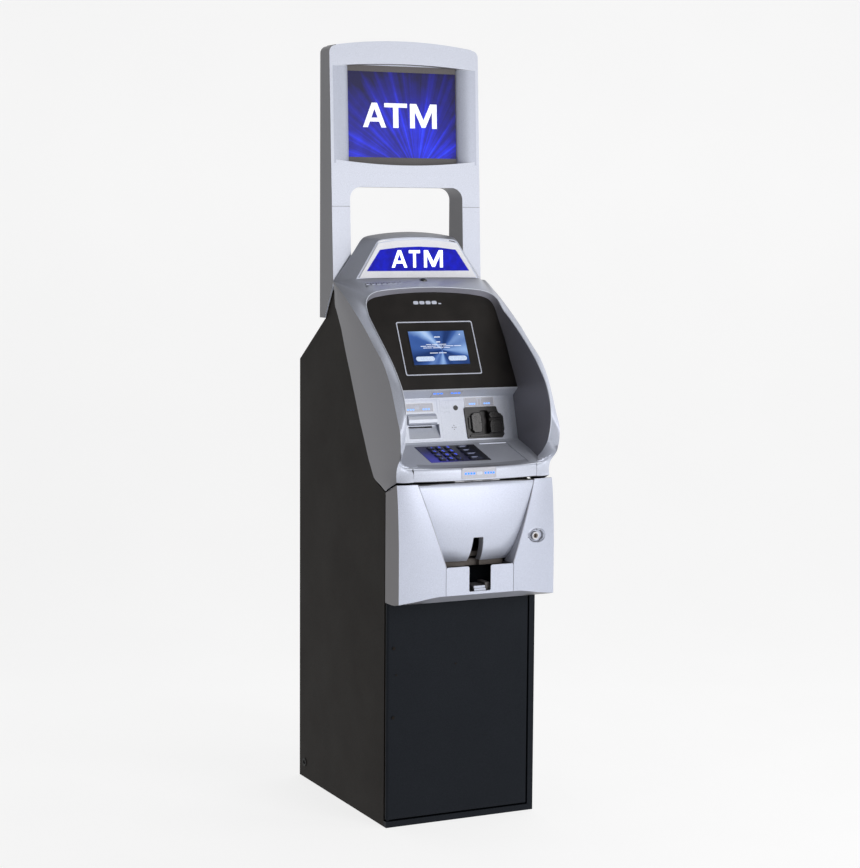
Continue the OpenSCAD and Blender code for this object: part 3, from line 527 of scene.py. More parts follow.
def hood():
    ridge = smooth_path([s[0] for s in ST], 4)
    rim = smooth_path([s[1] for s in ST], 4)
    seam = smooth_path([(206.0, s[2][0], s[2][1]) for s in ST], 4)
    rows = []
    for a, b, c in zip(ridge, rim, seam):
        row = []
        # side wall with a soft belly
        for i in range(9):
            t = i / 8.0
            p = lerp(c, a, t)
            bulge = math.sin(pi * t) * 2.0
            row.append((min(p[0] + bulge, 214.4), p[1], p[2]))
        # rim band: slightly crowned between the two ridges
        A, B = Vector(a), Vector(b)
        cen = Vector((0, 90, 960))
        for i in range(1, 7):
            t = i / 6.0
            q = A.lerp(B, t)
            out = Vector((0, q.y - 60, q.z - 980))
            out = out.normalized() * (math.sin(pi * t) * 1.6)
            q = q + out
            row.append((q.x, q.y, q.z))
        rows.append(row)
    v1, f1 = grid(rows)
    v1, f1 = mirrored(v1, f1)
    # crown: from the display recess rim out to the ridge, the header and over its base
    rimc = [(193.2, 100, 1213.5)] + RIM_UP
    outc = [(214.4, 106, 1210), (214.4, 150, 1238), (214.4, 172, 1251)]
    out2 = [(214.6, 228, 1283.5), (215, 268, 1303), (215, 305, 1321.5), (207, 314, 1324), (190, 288, 1327), (173, 264.5, 1329.5),
            (140, 263.6, 1331), (105, 263.2, 1331.8), (70, 263, 1332), (35, 263, 1332.2), (0, 263, 1332.4)]
    outc += out2
    rows = []
    for k in range(len(rimc)):
        a, b = Vector(rimc[k]), Vector(outc[k])
        row = []
        for i in range(9):
            t = i / 8.0
            q = a.lerp(b, t)
            q.z += math.sin(pi * t) * (3.0 if k > 3 else 1.0 * k)
            row.append(tuple(q))
        rows.append(row)
    # finer along the rim
    fine = []
    for j in range(9):
        col = catmull([r[j] for r in rows], 3)
        fine.append(col)
    rows = [[fine[j][i] for j in range(9)] for i in range(len(fine[0]))]
    v2, f2 = grid(rows)
    v2, f2 = mirrored(v2, f2)
    # side wall behind the crown's ridge
    ridge2 = catmull([(214.4, 106, 1210), (214.4, 150, 1238), (214.4, 190, 1262), (214.6, 228, 1283.5), (215, 268, 1303), (215, 305, 1321.5)], 4)
    seam2 = catmull([(206, 265, 1184), (206, 276, 1206), (206, 288, 1224), (206, 303, 1246), (206, 317, 1268), (206, 318.6, 1319)], 4)
    rows = []
    for a, c in zip(ridge2, seam2):
        row = []
        for t in range(9):
            q = lerp(c, a, t / 8.0)
            row.append((min(q[0] + 2.0 * math.sin(pi * t / 8.0), 214.4 if q[0] < 214.5 else q[0]), q[1], q[2]))
        rows.append(row)
    v3, f3 = grid(rows)
    v3, f3 = mirrored(v3, f3)
    V, F = [], []
    for vv, ff in ((v1, f1), (v2, f2), (v3, f3)):
        n = len(V)
        V += vv
        F += [tuple(n + i for i in f) for f in ff]
    V = [(max(-214.4, min(214.4, x)), max(-95.9, y), z) for x, y, z in V]
    o = make("hood_skin", V, F, "silver", "control_panel", merge=0.35, smooth=0)
    # every face looks away from the middle of the machine, so the thickness goes inwards
    c = Vector(W((0, 150, 1050)))
    bm = bmesh.new()
    bm.from_mesh(o.data)
    bad = [p for p in bm.faces if p.normal.dot(p.calc_center_median() - c) < 0]
    bmesh.ops.reverse_faces(bm, faces=bad)
    bm.to_mesh(o.data)
    bm.free()
    smooth_by_angle(o, 38)
    m = o.modifiers.new("solid", "SOLIDIFY")
    m.thickness = 0.0026
    m.offset = -1.0
    bevel(o, 2.2, 3, 33)
    return o


def recess_walls():
    """inner cheeks of the user recess and the raked wall round the display"""
    rim = smooth_path([s[1] for s in ST], 4)
    low = [p for p in rim if p[2] > 902]
    rim2 = [(193.2, 100, 1213.5)] + RIM_UP
    base2 = [LCD(x, s, 0) for x, s in [(190.5, 20), (187, 50), (183.5, 76), (181.5, 98), (178.5, 112), (172.5, 124.5), (165, 132), (153, 137.5), (138, 141), (115, 145), (88, 148), (60, 150), (30, 151.5), (0, 152)]]
    rows = []
    for a, b in zip(rim2, base2):
        rows.append([lerp(a, b, i / 5.0) for i in range(6)])
    cols = [catmull([r[j] for r in rows], 3) for j in range(6)]
    rows = [[cols[j][i] for j in range(6)] for i in range(len(cols[0]))]
    v, f = grid(rows)
    # cheek from the rim to the panel edges: strips towards a poly-line of the panels
    edge = [(188.5, -40, 896.3), (194.6, 20, 913.5), (195, 74, 929), (195, 81, 934), (195, 96, 987), (195, 111, 1040), (195, 98, 1051), (195.6, 86.5, 1060.5), LCD(194, -60, 0), LCD(192.4, -20, 0), LCD(190.5, 20, 0)]
    tot = [0.0]
    for i in range(1, len(edge)):
        tot.append(tot[-1] + (Vector(edge[i]) - Vector(edge[i - 1])).length)

    def at(path, cum, t):
        d = t * cum[-1]
        for i in range(1, len(path)):
            if d <= cum[i] + 1e-9:
                return lerp(path[i - 1], path[i], (d - cum[i - 1]) / max(cum[i] - cum[i - 1], 1e-9))
        return path[-1]
    n = 60
    lc = [0.0]
    for i in range(1, len(low)):
        lc.append(lc[-1] + (Vector(low[i]) - Vector(low[i - 1])).length)
    rows = []
    for k in range(n + 1):
        t = k / n
        a, b = at(low, lc, t), at(edge, tot, t)
        row = []
        for i in range(9):
            u = i / 8.0
            q = lerp(a, b, u)
            row.append((q[0] + 0.8 * math.sin(pi * u) * (1 if 0.02 < t < 0.98 else 0), q[1], q[2]))
        rows.append(row)
    v2, f2 = grid(rows)
    V, F = v + v2, f + [tuple(len(v) + i for i in g) for g in f2]
    V, F = mirrored(V, F)
    o = make("recess_walls", V, F, "silver_in", "control_panel", merge=0.3, smooth=40)
    m = o.modifiers.new("solid", "SOLIDIFY")
    m.thickness = 0.0022
    m.offset = 0.0
    return o


def header():
    half = [(172, -14), (171.5, -6), (170, 0), (150, 31.5), (130, 63), (118, 82), (111, 91), (101, 95.5), (85, 97.5), (60, 99.8), (30, 101.5), (0, 102)]
    back = [(212, 1310), (211, 1317), (207, 1324), (183, 1357), (158, 1391), (142, 1415), (133, 1427), (122, 1434.5), (100, 1439), (70, 1443), (35, 1445.8), (0, 1447)]
    rows = []
    for (fx, fy), (bx, bz) in zip(half, back):
        a = Vector(SGN(fx, fy, 0))
        b = Vector((bx, 318.6, bz))
        row = [tuple(a)]
        for i in range(1, 9):
            t = i / 8.0
            q = a.lerp(b, t)
            q.z += math.sin(pi * t) * 1.2
            row.append(tuple(q))
        row.append((b.x - 6 * (b.x / 212.0), 318.8, b.z - 5))
        rows.append(row)
    cols = [catmull([r[j] for r in rows], 3) for j in range(len(rows[0]))]
    rows = [[c[i] for c in cols] for i in range(len(cols[0]))]
    v, f = grid(rows)
    v, f = mirrored(v, f)
    o = make("header_hood", v, f, "silver", "control_panel", merge=0.3, smooth=38)
    m = o.modifiers.new("solid", "SOLIDIFY")
    m.thickness = 0.003
    m.offset = -1.0
    bevel(o, 1.6, 3, 35)
    # recessed face between the hood's front edge and the sign
    pts = [(x, y) for x, y in half] + [(-x, y) for x, y in reversed(half[:-1])]
    ring_in = [(-108, 82), (-60, 91), (0, 93.6), (60, 91), (108, 82), (160, 1), (-160, 1)]
    slab("header_face", SGN, round_poly([(-171, -12), (171, -12), (168.5, 0), (111.5, 88), (60, 98), (0, 100.2), (-60, 98), (-111.5, 88), (-168.5, 0)], 3), -2.6, -0.3, "silver", "control_panel", bev=0.5)
    return o


def lip():
    """bowed apron below the shelf with a rolled front edge"""
    R, yc = 905.0, 905.0 - 84.0
    rows = []
    n = 48
    for k in range(n + 1):
        x = -166.0 + 332.0 * k / n
        prof = [(3.0, 857.0), (0.6, 857.2), (0.0, 858.5), (0.0, 866), (0.0, 874), (0.15, 880), (0.8, 883.6), (2.6, 886.2), (5.4, 887.6)]
        row = []
        for d, z in prof:
            y = yc - math.sqrt((R - d) ** 2 - x * x)
            zz = z
            row.append((x, y, zz))
        # roll onto the shelf plane
        y0 = row[-1][1]
        for e in (6.0, 14.0, 24.0):
            y = y0 + e
            z = 929 + (y - 74) * math.tan(math.radians(16)) + 0.1
            row.append((x, y, max(z, 887.6) if e < 7 else z))
        rows.append(row)
    v, f = grid(rows)
    o = make("lip_apron", v, f, "silver", "control_panel", smooth=40)
    m = o.modifiers.new("solid", "SOLIDIFY")
    m.thickness = 0.0025
    m.offset = -1.0
    return o


def shelf_sides():
    """shelf corners between the apron, the foot of the wing and the cheek"""
    R, yc = 905.0, 905.0 - 84.0
    pts = []
    rows = []
    foot = [(166, -69.5, 857), (166.5, -69.0, 866), (167.5, -67.5, 879), (172.0, -60, 889), (180.5, -46, 896), (188.5, -40, 904)]
    sh = lambda x, y: (x, y, 929 + (y - 74) * math.tan(math.radians(16)) + 0.05)
    a = [sh(166, -62), sh(168, -58), sh(173, -52), sh(180, -44), sh(188, -38), sh(194.5, -20), sh(194.8, 20), sh(195, 72)]
    b = [sh(150, -58), sh(150, -52), sh(150, -46), sh(150, -40), sh(150, -30), sh(150, -10), sh(150, 24), sh(150, 72)]
    v, f = grid([a, b])
    # tuck under the foot
    c = [(166, -69.4, 884), (167.5, -66, 886.5), (172, -59, 889), (180.5, -45, 895), (188.5, -39, 900)]
    v2, f2 = grid([c, a[:5]])
    V, F = v + v2, f + [tuple(len(v) + i for i in g) for g in f2]
    V, F = mirrored(V, F)
    o = make("shelf_corners", V, F, "silver_flat", "control_panel", merge=0.2, smooth=50)
    m = o.modifiers.new("solid", "SOLIDIFY")
    m.thickness = 0.0015
    m.offset = -1.0
    return o


# darker copy of the silver: painted shade on the walls inside the user recess and round the display
MAT["silver_in"] = grainy("silver_recess", (0.34, 0.34, 0.40), (0.48, 0.48, 0.56), (0.17, 0.165, 0.185), 0.25, 0.45, painted_shade_amt=0.75)
hood_parts = [hood(), recess_walls(), header(), lip(), shelf_sides()]
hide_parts("fascia_shell")
# ------------------------------------------------------------------ dispenser cover
BODY_C = "dispenser_cover"


def ys_side(z):
    pts = [(559, -80), (566, -81), (620, -81.4), (700, -81), (750, -78.6), (798, -75), (830, -71), (851, -67)]
    for (a, b), (c, d) in zip(pts, pts[1:]):
        if z <= c:
            t = max(0, (z - a) / (c - a))
            return b + (d - b) * t
    return pts[-1][1]


def v_crease(z):
    """front V crease: half width and y at height z"""
    if z <= 650:
        return 91.0, -95.0
    t = (z - 650) / 201.0
    x = 91 + 67 * t
    y = -95 + 4.0 * t + 17.0 * t ** 2.6
    return x, y


def z_crease(x):
    x = abs(x)
    if x < 104:
        return 581.0
    if x < 164:
        t = (x - 104) / 60.0
        return 581 - 9 * t ** 1.3
    return 572 - 6 * (x - 164) / 46.0


def recess(x, z):
    """depth of the oval lock recess at a point of the right flank"""
    rho = ((abs(x - 159) / 23.0) ** 2.3 + (abs(z - 713) / 17.0) ** 2.3) ** (1 / 2.3)
    if rho >= 1.12:
        return 0.0
    if rho >= 1.0:
        return -1.0 * math.sin(pi * (1.12 - rho) / 0.12)
    t = min(1.0, (1.0 - rho) / 0.22)
    return 7.0 * (t * t * (3 - 2 * t)) ** 0.8


def flank_rows(lock):
    rows = []
    zr = [581, 592, 605, 620, 636, 650, 664, 678]
    zr += [690 + 1.5 * i for i in range(32)] if lock else [690, 700, 712, 724, 736]
    zr += [744, 760, 776, 792, 806, 818, 828, 837, 842, 846.5, 851]
    nx = 64 if lock else 17
    for z in zr:
        xi, yi = v_crease(z)
        row = []
        for i in range(nx + 1):
            t = i / float(nx)
            x = xi + (210 - xi) * t
            zc = z_crease(x)
            zz = zc + (z - 581) * (851 - zc) / 270.0
            y = yi + (ys_side(zz) - yi) * t - 1.2 * math.sin(pi * t)
            if lock:
                y += recess(x, zz)
            if z > 850:
                y = max(y, -75.5)
            row.append((x, y, zz))
        rows.append(row)
    return rows


def cover_half(lock):
    rows = flank_rows(lock)
    V, F = [], []

    def add(g):
        n = len(V)
        V.extend(g[0])
        F.extend(tuple(n + i for i in q) for q in g[1])
    add(grid(rows))
    bot = rows[0]
    mid = [(p[0], -56, 560.2) for p in bot]
    end = [(p[0], -4, 559.2) for p in bot]
    add(grid([end, mid, [lerp(a, b, 0.5) for a, b in zip(bot, mid)], bot]))
    side = []
    for r in rows:
        p = r[-1]
        line = []
        for i in range(7):
            y = p[1] + (-4 - p[1]) * i / 6.0
            line.append((210, y, min(p[2], 851 - max(0, y + 64) * 0.403)))
        side.append(line)
    b0 = side[0][0]
    side.insert(0, [(210, b0[1] + (-4 - b0[1]) * i / 6.0, 559.2 + (b0[2] - 559.2) * max(0, 1 - i / 3.0) ** 1.2) for i in range(7)])
    add(grid(side))
    top = rows[-1]
    t1 = [(p[0], max(p[1] + 4, -66), 851) for p in top]
    t2 = [(p[0], -4, 826.6) for p in top]
    add(grid([top, t1, [lerp(a, b, 0.5) for a, b in zip(t1, t2)], t2]))
    wall = []
    for z in [650, 654, 660, 668, 680, 696, 712, 728, 744, 760, 776, 792, 806, 818, 828, 837, 844, 851]:
        x, y = v_crease(z)
        yb = bowl_y(x, z)
        wall.append([(x - 0.2 * i, y + (max(yb, y) - y) * i / 3.0, z) for i in range(4)])
    return V, F, grid(wall)


def cover_flank():
    V, F, wall = cover_half(True)
    v2, f2, _w = cover_half(False)
    n = len(V)
    V += [(-x, y, z) for x, y, z in v2]
    F += [tuple(n + i for i in reversed(q)) for q in f2]
    n = len(V)
    xs = [-91 + 182 * i / 12.0 for i in range(13)]
    v6, f6 = grid([[(x, -4, 559.2) for x in xs], [(x, -56, 560.2) for x in xs], [(x, -75.5, 570.6) for x in xs], [(x, -95, 581) for x in xs]])
    V += v6
    F += [tuple(n + i for i in g) for g in f6]
    n = len(V)
    xt = [-158 + 316 * i / 16.0 for i in range(17)]
    v7, f7 = grid([[(x, -75.5 + (abs(x) / 158.0) ** 2 * 1.5, 851) for x in xt], [(x, -66, 851) for x in xt], [(x, -4, 826.6) for x in xt]])
    V += v7
    F += [tuple(n + i for i in g) for g in f7]
    wv, wf = mirrored(*wall)
    wo = make("cover_bowl_walls", wv, wf, "silver_wall", BODY_C, merge=0.05, smooth=30)
    wm = wo.modifiers.new("solid", "SOLIDIFY")
    wm.thickness = 0.0022
    wm.offset = 0.0
    o = make("cover_shell", V, F, "silver_c", BODY_C, merge=0.3, smooth=24)
    # every face looks away from the middle of the cover, so the thickness goes inwards
    c = Vector(W((0, -30, 700)))
    bm = bmesh.new()
    bm.from_mesh(o.data)
    bad = [p for p in bm.faces if p.normal.dot(p.calc_center_median() - c) < 0]
    bmesh.ops.reverse_faces(bm, faces=bad)
    bm.to_mesh(o.data)
    bm.free()
    # the level top face under the lip is painted black: painted shadow under the lip
    o.data.materials.append(MAT["black"])
    for p in o.data.polygons:
        if p.center.z > 0.8505 and abs(p.normal.z) > 0.9:
            p.material_index = 1
    m = o.modifiers.new("solid", "SOLIDIFY")
    m.thickness = 0.0026
    m.offset = -1.0
    return o


BOWL = [(851, -75.5), (846.5, -80), (838, -81.6), (820, -83.6), (800, -85.2), (780, -86.4), (760, -87), (740, -86.6), (722, -85.2), (706, -82.6), (692, -78.6), (680, -73.6), (670, -68), (662, -62), (657, -57.5)]


def bowl_yc(z):
    for (a, b), (c, d) in zip(BOWL, BOWL[1:]):
        if z >= c:
            t = (a - z) / (a - c)
            return b + (d - b) * t
    return BOWL[-1][1]


def bowl_y(x, z):
    xe, ye = v_crease(max(z, 650))
    yc = bowl_yc(z)
    # edge sits level with the crease at the top, set back lower down
    t = (851 - z) / 194.0
    edge = yc + 5.5 + 2.0 * t
    return yc + (edge - yc) * min(1, abs(x) / xe) ** 2.2


def bowl():
    zs = [851, 846.5, 838, 820, 800, 780, 760, 740, 728, 719, 712, 702, 692, 682, 674, 668, 662, 657]

    def half(z):
        """half width of the finger notch"""
        if z > 718:
            return 0.0
        t = (718 - z) / 61.0
        return 13.5 + 4.5 * t
    V, F = [], []
    for sgn in (1, -1):
        rows = []
        for z in zs:
            xe, _ = v_crease(max(z, 650))
            xe -= 0.8
            h = half(z)
            if h == 0 and z > 728:
                x0 = 0.0
            elif h == 0:
                x0 = 0.0
            else:
                x0 = h
            row = []
            for i in range(21):
                x = x0 + (xe - x0) * i / 20.0
                row.append((sgn * x, bowl_y(x, z), z))
            rows.append(row)
        for k in range(len(rows) - 1):
            a, b = rows[k], rows[k + 1]
            # no faces across the step at the top of the notch
            if zs[k] == 719:
                continue
            n = len(V)
            V += a + b
            m = len(a)
            for j in range(m - 1):
                F.append((n + j, n + j + 1, n + m + j + 1, n + m + j))
        # strip between z 719 and 712 with the rounded notch top
        k = zs.index(719)
        a = rows[k]
        b = rows[k + 1]
        x0 = 13.6
        aa, bb = [], []
        xe, _ = v_crease(719)
        xe -= 0.8
        arc = [(13.6 - 4 + 4 * math.sin(q * pi / 8), 714 + 4 * math.cos(q * pi / 8)) for q in range(0, 5)]
        n = len(V)
        lower = [(0, 718), (9.6, 718)] + arc[1:]
        pts_t = [(sgn * x, bowl_y(x, 719), 719) for x, _ in lower]
        pts_b = [(sgn * x, bowl_y(x, z), z) for x, z in lower]
        vv, ff = grid([pts_t, pts_b])
        V += vv
        F += [tuple(n + i for i in g) for g in ff]
        n = len(V)
        xs = [13.6 + (xe - 13.6) * i / 20.0 for i in range(21)]
        xb = [half(712) + (v_crease(712)[0] - 0.8 - half(712)) * i / 20.0 for i in range(21)]
        vv, ff = grid([[(sgn * x, bowl_y(x, 719), 719) for x in xs], [(sgn * x, bowl_y(x, 712), 712) for x in xb]])
        V += vv
        F += [tuple(n + i for i in g) for g in ff]
    o = make("cover_bowl", V, F, "silver_c", BODY_C, merge=0.4, smooth=40)
    m = o.modifiers.new("solid", "SOLIDIFY")
    m.thickness = 0.0028
    m.offset = -1.0
    return o


def notch_walls():
    V, F = [], []
    for s in (1, -1):
        rows = []
        for z in (717, 712, 702, 692, 682, 674, 668, 662, 657):
            h = 13.5 + 4.5 * (718 - z) / 61.0 + 0.15
            y = bowl_y(h, z)
            rows.append([(s * h, y + 0.4 + 4.5 * i, z) for i in range(6)])
        v, f = grid(rows)
        n = len(V)
        V += v
        F += [tuple(n + i for i in g) for g in f]
    n = len(V)
    v, f = grid([[(x, bowl_y(0, 718) + 0.4 + 4.5 * i, 717.6) for i in range(6)] for x in (-13, 0, 13)])
    V += v
    F += [tuple(n + i for i in g) for g in f]
    o = make("notch_walls", V, F, "silver_wall", BODY_C, merge=0.2, smooth=40)
    m = o.modifiers.new("solid", "SOLIDIFY")
    m.thickness = 0.0015
    m.offset = 0.0


def cover_tray():
    fr = lambda x, z, n=0.0: (x, -95 - n, z)
    out = [(-91, 581), (91, 581), (91, 650), (29, 650), (29, 588), (-29, 588), (-29, 650), (-91, 650)]
    a = slab("tray_front", fr, round_poly(out, [0.5, 0.5, 5, 5, 4, 4, 5, 5], 4), -3.0, 0.0, "silver_c", BODY_C, bev=1.0, seg=3)
    fz = lambda x, y, z=0.0: (x, y, z)
    b = slab("tray_floor", fz, [(-90, -92), (90, -92), (90, -30), (-90, -30)], 585, 588, "silver_c", BODY_C, bev=0.5)
    for s in (-1, 1):
        fx = lambda y, z, x=0.0, s=s: (s * x, y, z)
        slab("tray_cheek_%s" % ("l" if s < 0 else "r"), fx, [(-92, 586), (-30, 586), (-30, 644), (-60, 650), (-92, 650)], 87.5, 90.4, "silver_c", BODY_C, bev=0.5)
    slab("tray_step", fz, rrect(-14, 18, -88, -40, 2), 588, 600, "silver_c", BODY_C, bev=1.0)
    slab("tray_step_side", fz, rrect(19, 33, -84, -40, 1.5), 588, 606, "dark_taupe", BODY_C, bev=0.8)
    slab("tray_step_lip", fz, rrect(-14, 18, -91.5, -87, 1), 588, 593.5, "silver_c", BODY_C, bev=0.6)
    return a


def seam_line(name, pts, w, mat, body, lift=0.15):
    """thin raised-edge line along points on a surface facing forward"""
    rows = []
    for p in pts:
        rows.append([(p[0] - w / 2, p[1] - lift, p[2]), (p[0] + w / 2, p[1] - lift, p[2])])
    v, f = grid(rows)
    o = make(name, v, f, mat, body, smooth=0)
    m = o.modifiers.new("solid", "SOLIDIFY")
    m.thickness = 0.0003
    return o


# copy of the silver for the dispenser cover, with its own painted-shade colour on the cover's sides and underside
MAT["silver_c"] = grainy("silver_cover", (0.55, 0.585, 0.69), (0.75, 0.795, 0.93), (0.110, 0.100, 0.098), 0.30, 0.38, painted_shade_amt=0.9)
# dimmer copy of the cover silver with a pale painted-shade colour: the bowl and notch walls painted as softly lit mid
# grey
MAT["silver_wall"] = grainy("silver_cover_wall", (0.36, 0.375, 0.43), (0.50, 0.52, 0.60), (0.40, 0.405, 0.45), 0.25, 0.42, painted_shade_amt=0.9)
MAT["dark_taupe"] = coat("dark_taupe", (0.12, 0.11, 0.11), (0.2, 0.19, 0.185), 0.5)
MAT["seam"] = plastic("seam_shadow", (0.16, 0.16, 0.19), (0.24, 0.24, 0.28), 0.6)

cover = cover_flank()
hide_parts("dispenser_cover")
bw = bowl()
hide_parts("dispenser_bowl")
cover_tray()
notch_walls()
for s in (-1, 1):
    seam_line("tray_seam_%d" % (s + 1), [(s * 91.4, -95.0, 650), (s * 91.4, -95.0, 581.5)], 0.7, "seam", BODY_C)


# lock face ring and key slot
fy = lambda x, z, n=0.0: (x, -84 - n, z)
slab("lock_face", fy, circ(153, 713, 8.6, 40), -2.0, 2.6, "brass", "cover_lock_plug", bev=1.0, seg=3)
slab("lock_ring", fy, circ(153, 713, 10.4, 40), -2.0, 1.4, "steel", BODY_C, bev=0.8, seg=2, holes=[circ(153, 713, 8.9, 40)])
slab("lock_keyway", fy, rrect(151.9, 154.1, 709, 717, 0.9), 2.5, 2.95, "black", "cover_lock_plug", bev=0.1)
slab("lock_core", fy, circ(153, 713, 4.6, 28), 2.5, 3.2, "brass", "cover_lock_plug", bev=0.3, holes=[rrect(151.6, 154.4, 708.7, 717.3, 1.0)])
# inner side of the cover: lugs and lock nut show when it swings open
for z in (606, 786):
    fz = lambda x, y, zz=0.0: (x, y, zz)
    slab("cover_lug_%d" % z, fz, round_poly([(-208, -13), (-203, -13.6), (-198.6, -11), (-198.6, -7), (-203, -4.4), (-208, -5)], 2.5), z, z + 5, "silver_c", BODY_C, bev=0.4, holes=[circ(-203, -9, 2.56, 24)])

# ------------------------------------------------------------------ glyphs
def g_atm(letter, x0, x1, y0, y1, st):
    """outline of a plain capital, st = stroke as a share of its width"""
    w, h = x1 - x0, y1 - y0
    hs = []
    if letter == "A":
        m = 0.5 - 0.55 * st
        o = [(0, 0), (st, 0), (st + m * 0.235, 0.235), (1 - st - m * 0.235, 0.235), (1 - st, 0), (1, 0), (1 - m, 1), (m, 1)]
        hole = [(st + m * 0.395, 0.395), (1 - st - m * 0.395, 0.395), (0.5, (0.5 - st) / m)]
        hs = [[(x0 + p * w, y0 + q * h) for p, q in hole]]
    elif letter == "T":
        s = st / 2
        o = [(0, 1), (0, 0.83), (0.5 - s, 0.83), (0.5 - s, 0), (0.5 + s, 0), (0.5 + s, 0.83), (1, 0.83), (1, 1)]
    else:
        o = [(0, 0), (0, 1), (st * 1.35, 1), (0.5, 0.34), (1 - st * 1.35, 1), (1, 1), (1, 0), (1 - st, 0), (1 - st, 0.68), (0.57, 0.03), (0.43, 0.03), (st, 0.68), (st, 0)]
    return [(x0 + p * w, y0 + q * h) for p, q in o], hs


for L, a, b, st in (("A", -74, -31, 0.19), ("T", -26, 5, 0.25), ("M", 16, 69, 0.155)):
    o, hs = g_atm(L, a, b, 25.5, 69.0, st)
    slab("sign_" + L, SGN, round_poly(o, 0.5, 2), 2.5, 3.3, "lamp", "control_panel", bev=0.15, seg=1, holes=hs)
TL = lambda x, z, n=0.0: TOP(x, z - 1510, -20 + n)
for L, a, b, st in (("A", -111, -46, 0.21), ("T", -51, 13, 0.235), ("M", 21, 97, 0.18)):
    o, hs = g_atm(L, a, b, 1711, 1773, st)
    slab("ad_" + L, TL, round_poly(o, 0.5, 2), 0.5, 1.0, "ad_letter", "cabinet", bev=0.1, seg=1, holes=hs)
# advertising picture
ctr = W(TOP(0, 230, -19.6))
up_t = Vector((0, -_ts, _tc))
MAT["ad"] = rays("ad_picture", ctr, (1, 0, 0), tuple(up_t), 0.152, 0.112, 0.95)
slab("ad_screen", lambda x, z, n=0.0: TOP(x, z, -20 + n), rrect(-151.5, 151.5, 230 - 104.6, 230 + 111.5, 1.5), -1.5, 0.55, "ad", "cabinet", bev=0.2)
# dark frame round the picture: painted shade on the recess face above and below the picture
slab("ad_painted_shade_frame", lambda x, z, n=0.0: TOP(x, z, -20 + n), rrect(-153.5, 153.5, 230 - 126, 230 + 126.5, 2), -1.5, 1.1, "dark_taupe", "cabinet", bev=0.3, holes=[rrect(-151.4, 151.4, 230 - 104.5, 230 + 111.4, 1.5)])

# ------------------------------------------------------------------ display
slab("display_outline", LCD, rrect(-105, 105, -73, 71, 5), 0.0, 0.7, "line", "control_panel", bev=0.2, holes=[rrect(-102.2, 102.2, -70.2, 68.2, 3.5)])


def screen_mat():
    m, nt, b = _new("screen_picture")
    v = _coord(nt)
    c = W(LCD(8, -6, 0))
    sub = nt.nodes.new("ShaderNodeVectorMath")
    sub.operation = "SUBTRACT"
    sub.inputs[1].default_value = c
    nt.links.new(v, sub.inputs[0])

    def dot(vec):
        d = nt.nodes.new("ShaderNodeVectorMath")
        d.operation = "DOT_PRODUCT"
        d.inputs[1].default_value = vec
        nt.links.new(sub.outputs[0], d.inputs[0])
        return d.outputs["Value"]
    up = (0, math.cos(math.radians(63.5)), math.sin(math.radians(63.5)))
    x, y = dot((1, 0, 0)), dot(up)
    ang = _math(nt, "ARCTAN2", y, x)
    s1 = _math(nt, "SINE", _math(nt, "ADD", _math(nt, "MULTIPLY", ang, 3.0), 0.9))
    s2 = _math(nt, "SINE", _math(nt, "ADD", _math(nt, "MULTIPLY", ang, 8.0), 2.1))
    r = _math(nt, "POWER", _math(nt, "ADD", _math(nt, "MULTIPLY", x, x), _math(nt, "MULTIPLY", y, y)), 0.5)
    far = _math(nt, "MULTIPLY", r, 9.0)
    t = _math(nt, "ADD", _math(nt, "ADD", _math(nt, "MULTIPLY", s1, 0.22), _math(nt, "MULTIPLY", s2, 0.10)), _math(nt, "ADD", 0.30, _math(nt, "MULTIPLY", far, 0.10)))
    n = _noise(nt, v, 60.0, 2.0, 0.5)
    t = _math(nt, "ADD", t, _math(nt, "MULTIPLY", n, 0.08))
    col = _ramp(nt, t, [(0.12, (0.010, 0.028, 0.11)), (0.42, (0.035, 0.085, 0.27)), (0.66, (0.20, 0.32, 0.55)), (0.95, (0.74, 0.84, 0.97))])
    nt.links.new(col, b.inputs["Base Color"])
    nt.links.new(col, b.inputs["Emission Color"])
    b.inputs["Emission Strength"].default_value = 0.75
    nt.links.new(_math(nt, "ADD", _math(nt, "MULTIPLY", n, 0.05), 0.12), b.inputs["Roughness"])
    return m


MAT["screen"] = screen_mat()
slab("screen_picture", LCD, rrect(-77, 77, -45, 45, 1.0), -0.8, 0.15, "screen", "control_panel", bev=0.1)
slab("screen_gasket", LCD, rrect(-80, 80, -48, 48, 2), -1.2, 0.5, "black", "control_panel", bev=0.2, holes=[rrect(-77, 77, -45, 45, 1.0)])


def bars(name, fr, items, z0, z1, mat, body, r=0.6):
    """many small rounded bars joined in one piece: (x0, x1, y0, y1)"""
    V, F = [], []
    for (x0, x1, y0, y1) in items:
        out = rrect(x0, x1, y0, y1, min(r, (x1 - x0) * 0.45, (y1 - y0) * 0.45), 2)
        k = len(out)
        b = len(V)
        V += [fr(x, y, z0) for x, y in out] + [fr(x, y, z1) for x, y in out]
        F.append(tuple(b + k + i for i in range(k)))
        F.append(tuple(b + i for i in reversed(range(k))))
        F += [(b + i, b + (i + 1) % k, b + k + (i + 1) % k, b + k + i) for i in range(k)]
    return make(name, V, F, mat, body, smooth=30)


bars("screen_text", LCD, [(-8, 8, 27.5, 30), (-5, 6, 14, 17), (-34, -20, 8, 9.6), (-18, -2, 8, 9.6), (0, 22, 8, 9.6), (-50, -34, 3.5, 5.1), (-32, -8, 3.5, 5.1), (-6, 10, 3.5, 5.1), (12, 40, 3.5, 5.1), (42, 62, 3.5, 5.1),
                          (-44, -20, -1, 0.6), (-18, 12, -1, 0.6), (14, 30, -1, 0.6), (-28, -6, -15, -13.2), (-4, 18, -15, -13.2), (62, 65, 33, 36)], 0.15, 0.35, "screen_text", "control_panel", 0.5)
bars("screen_buttons", LCD, [(-69, -18, -35.5, -23), (20, 71, -35.5, -23)], 0.15, 0.4, "button", "control_panel", 5.5) if "button" in MAT else None
# plain mark above the display in place of a name
bars("display_mark", LCD, [(-46, -32, 118, 127), (-29, -15, 118, 127), (-12, 2, 118, 127), (5, 19, 118, 127), (23, 31, 118, 121)], 0.0, 0.3, "line", "control_panel", 3.0)

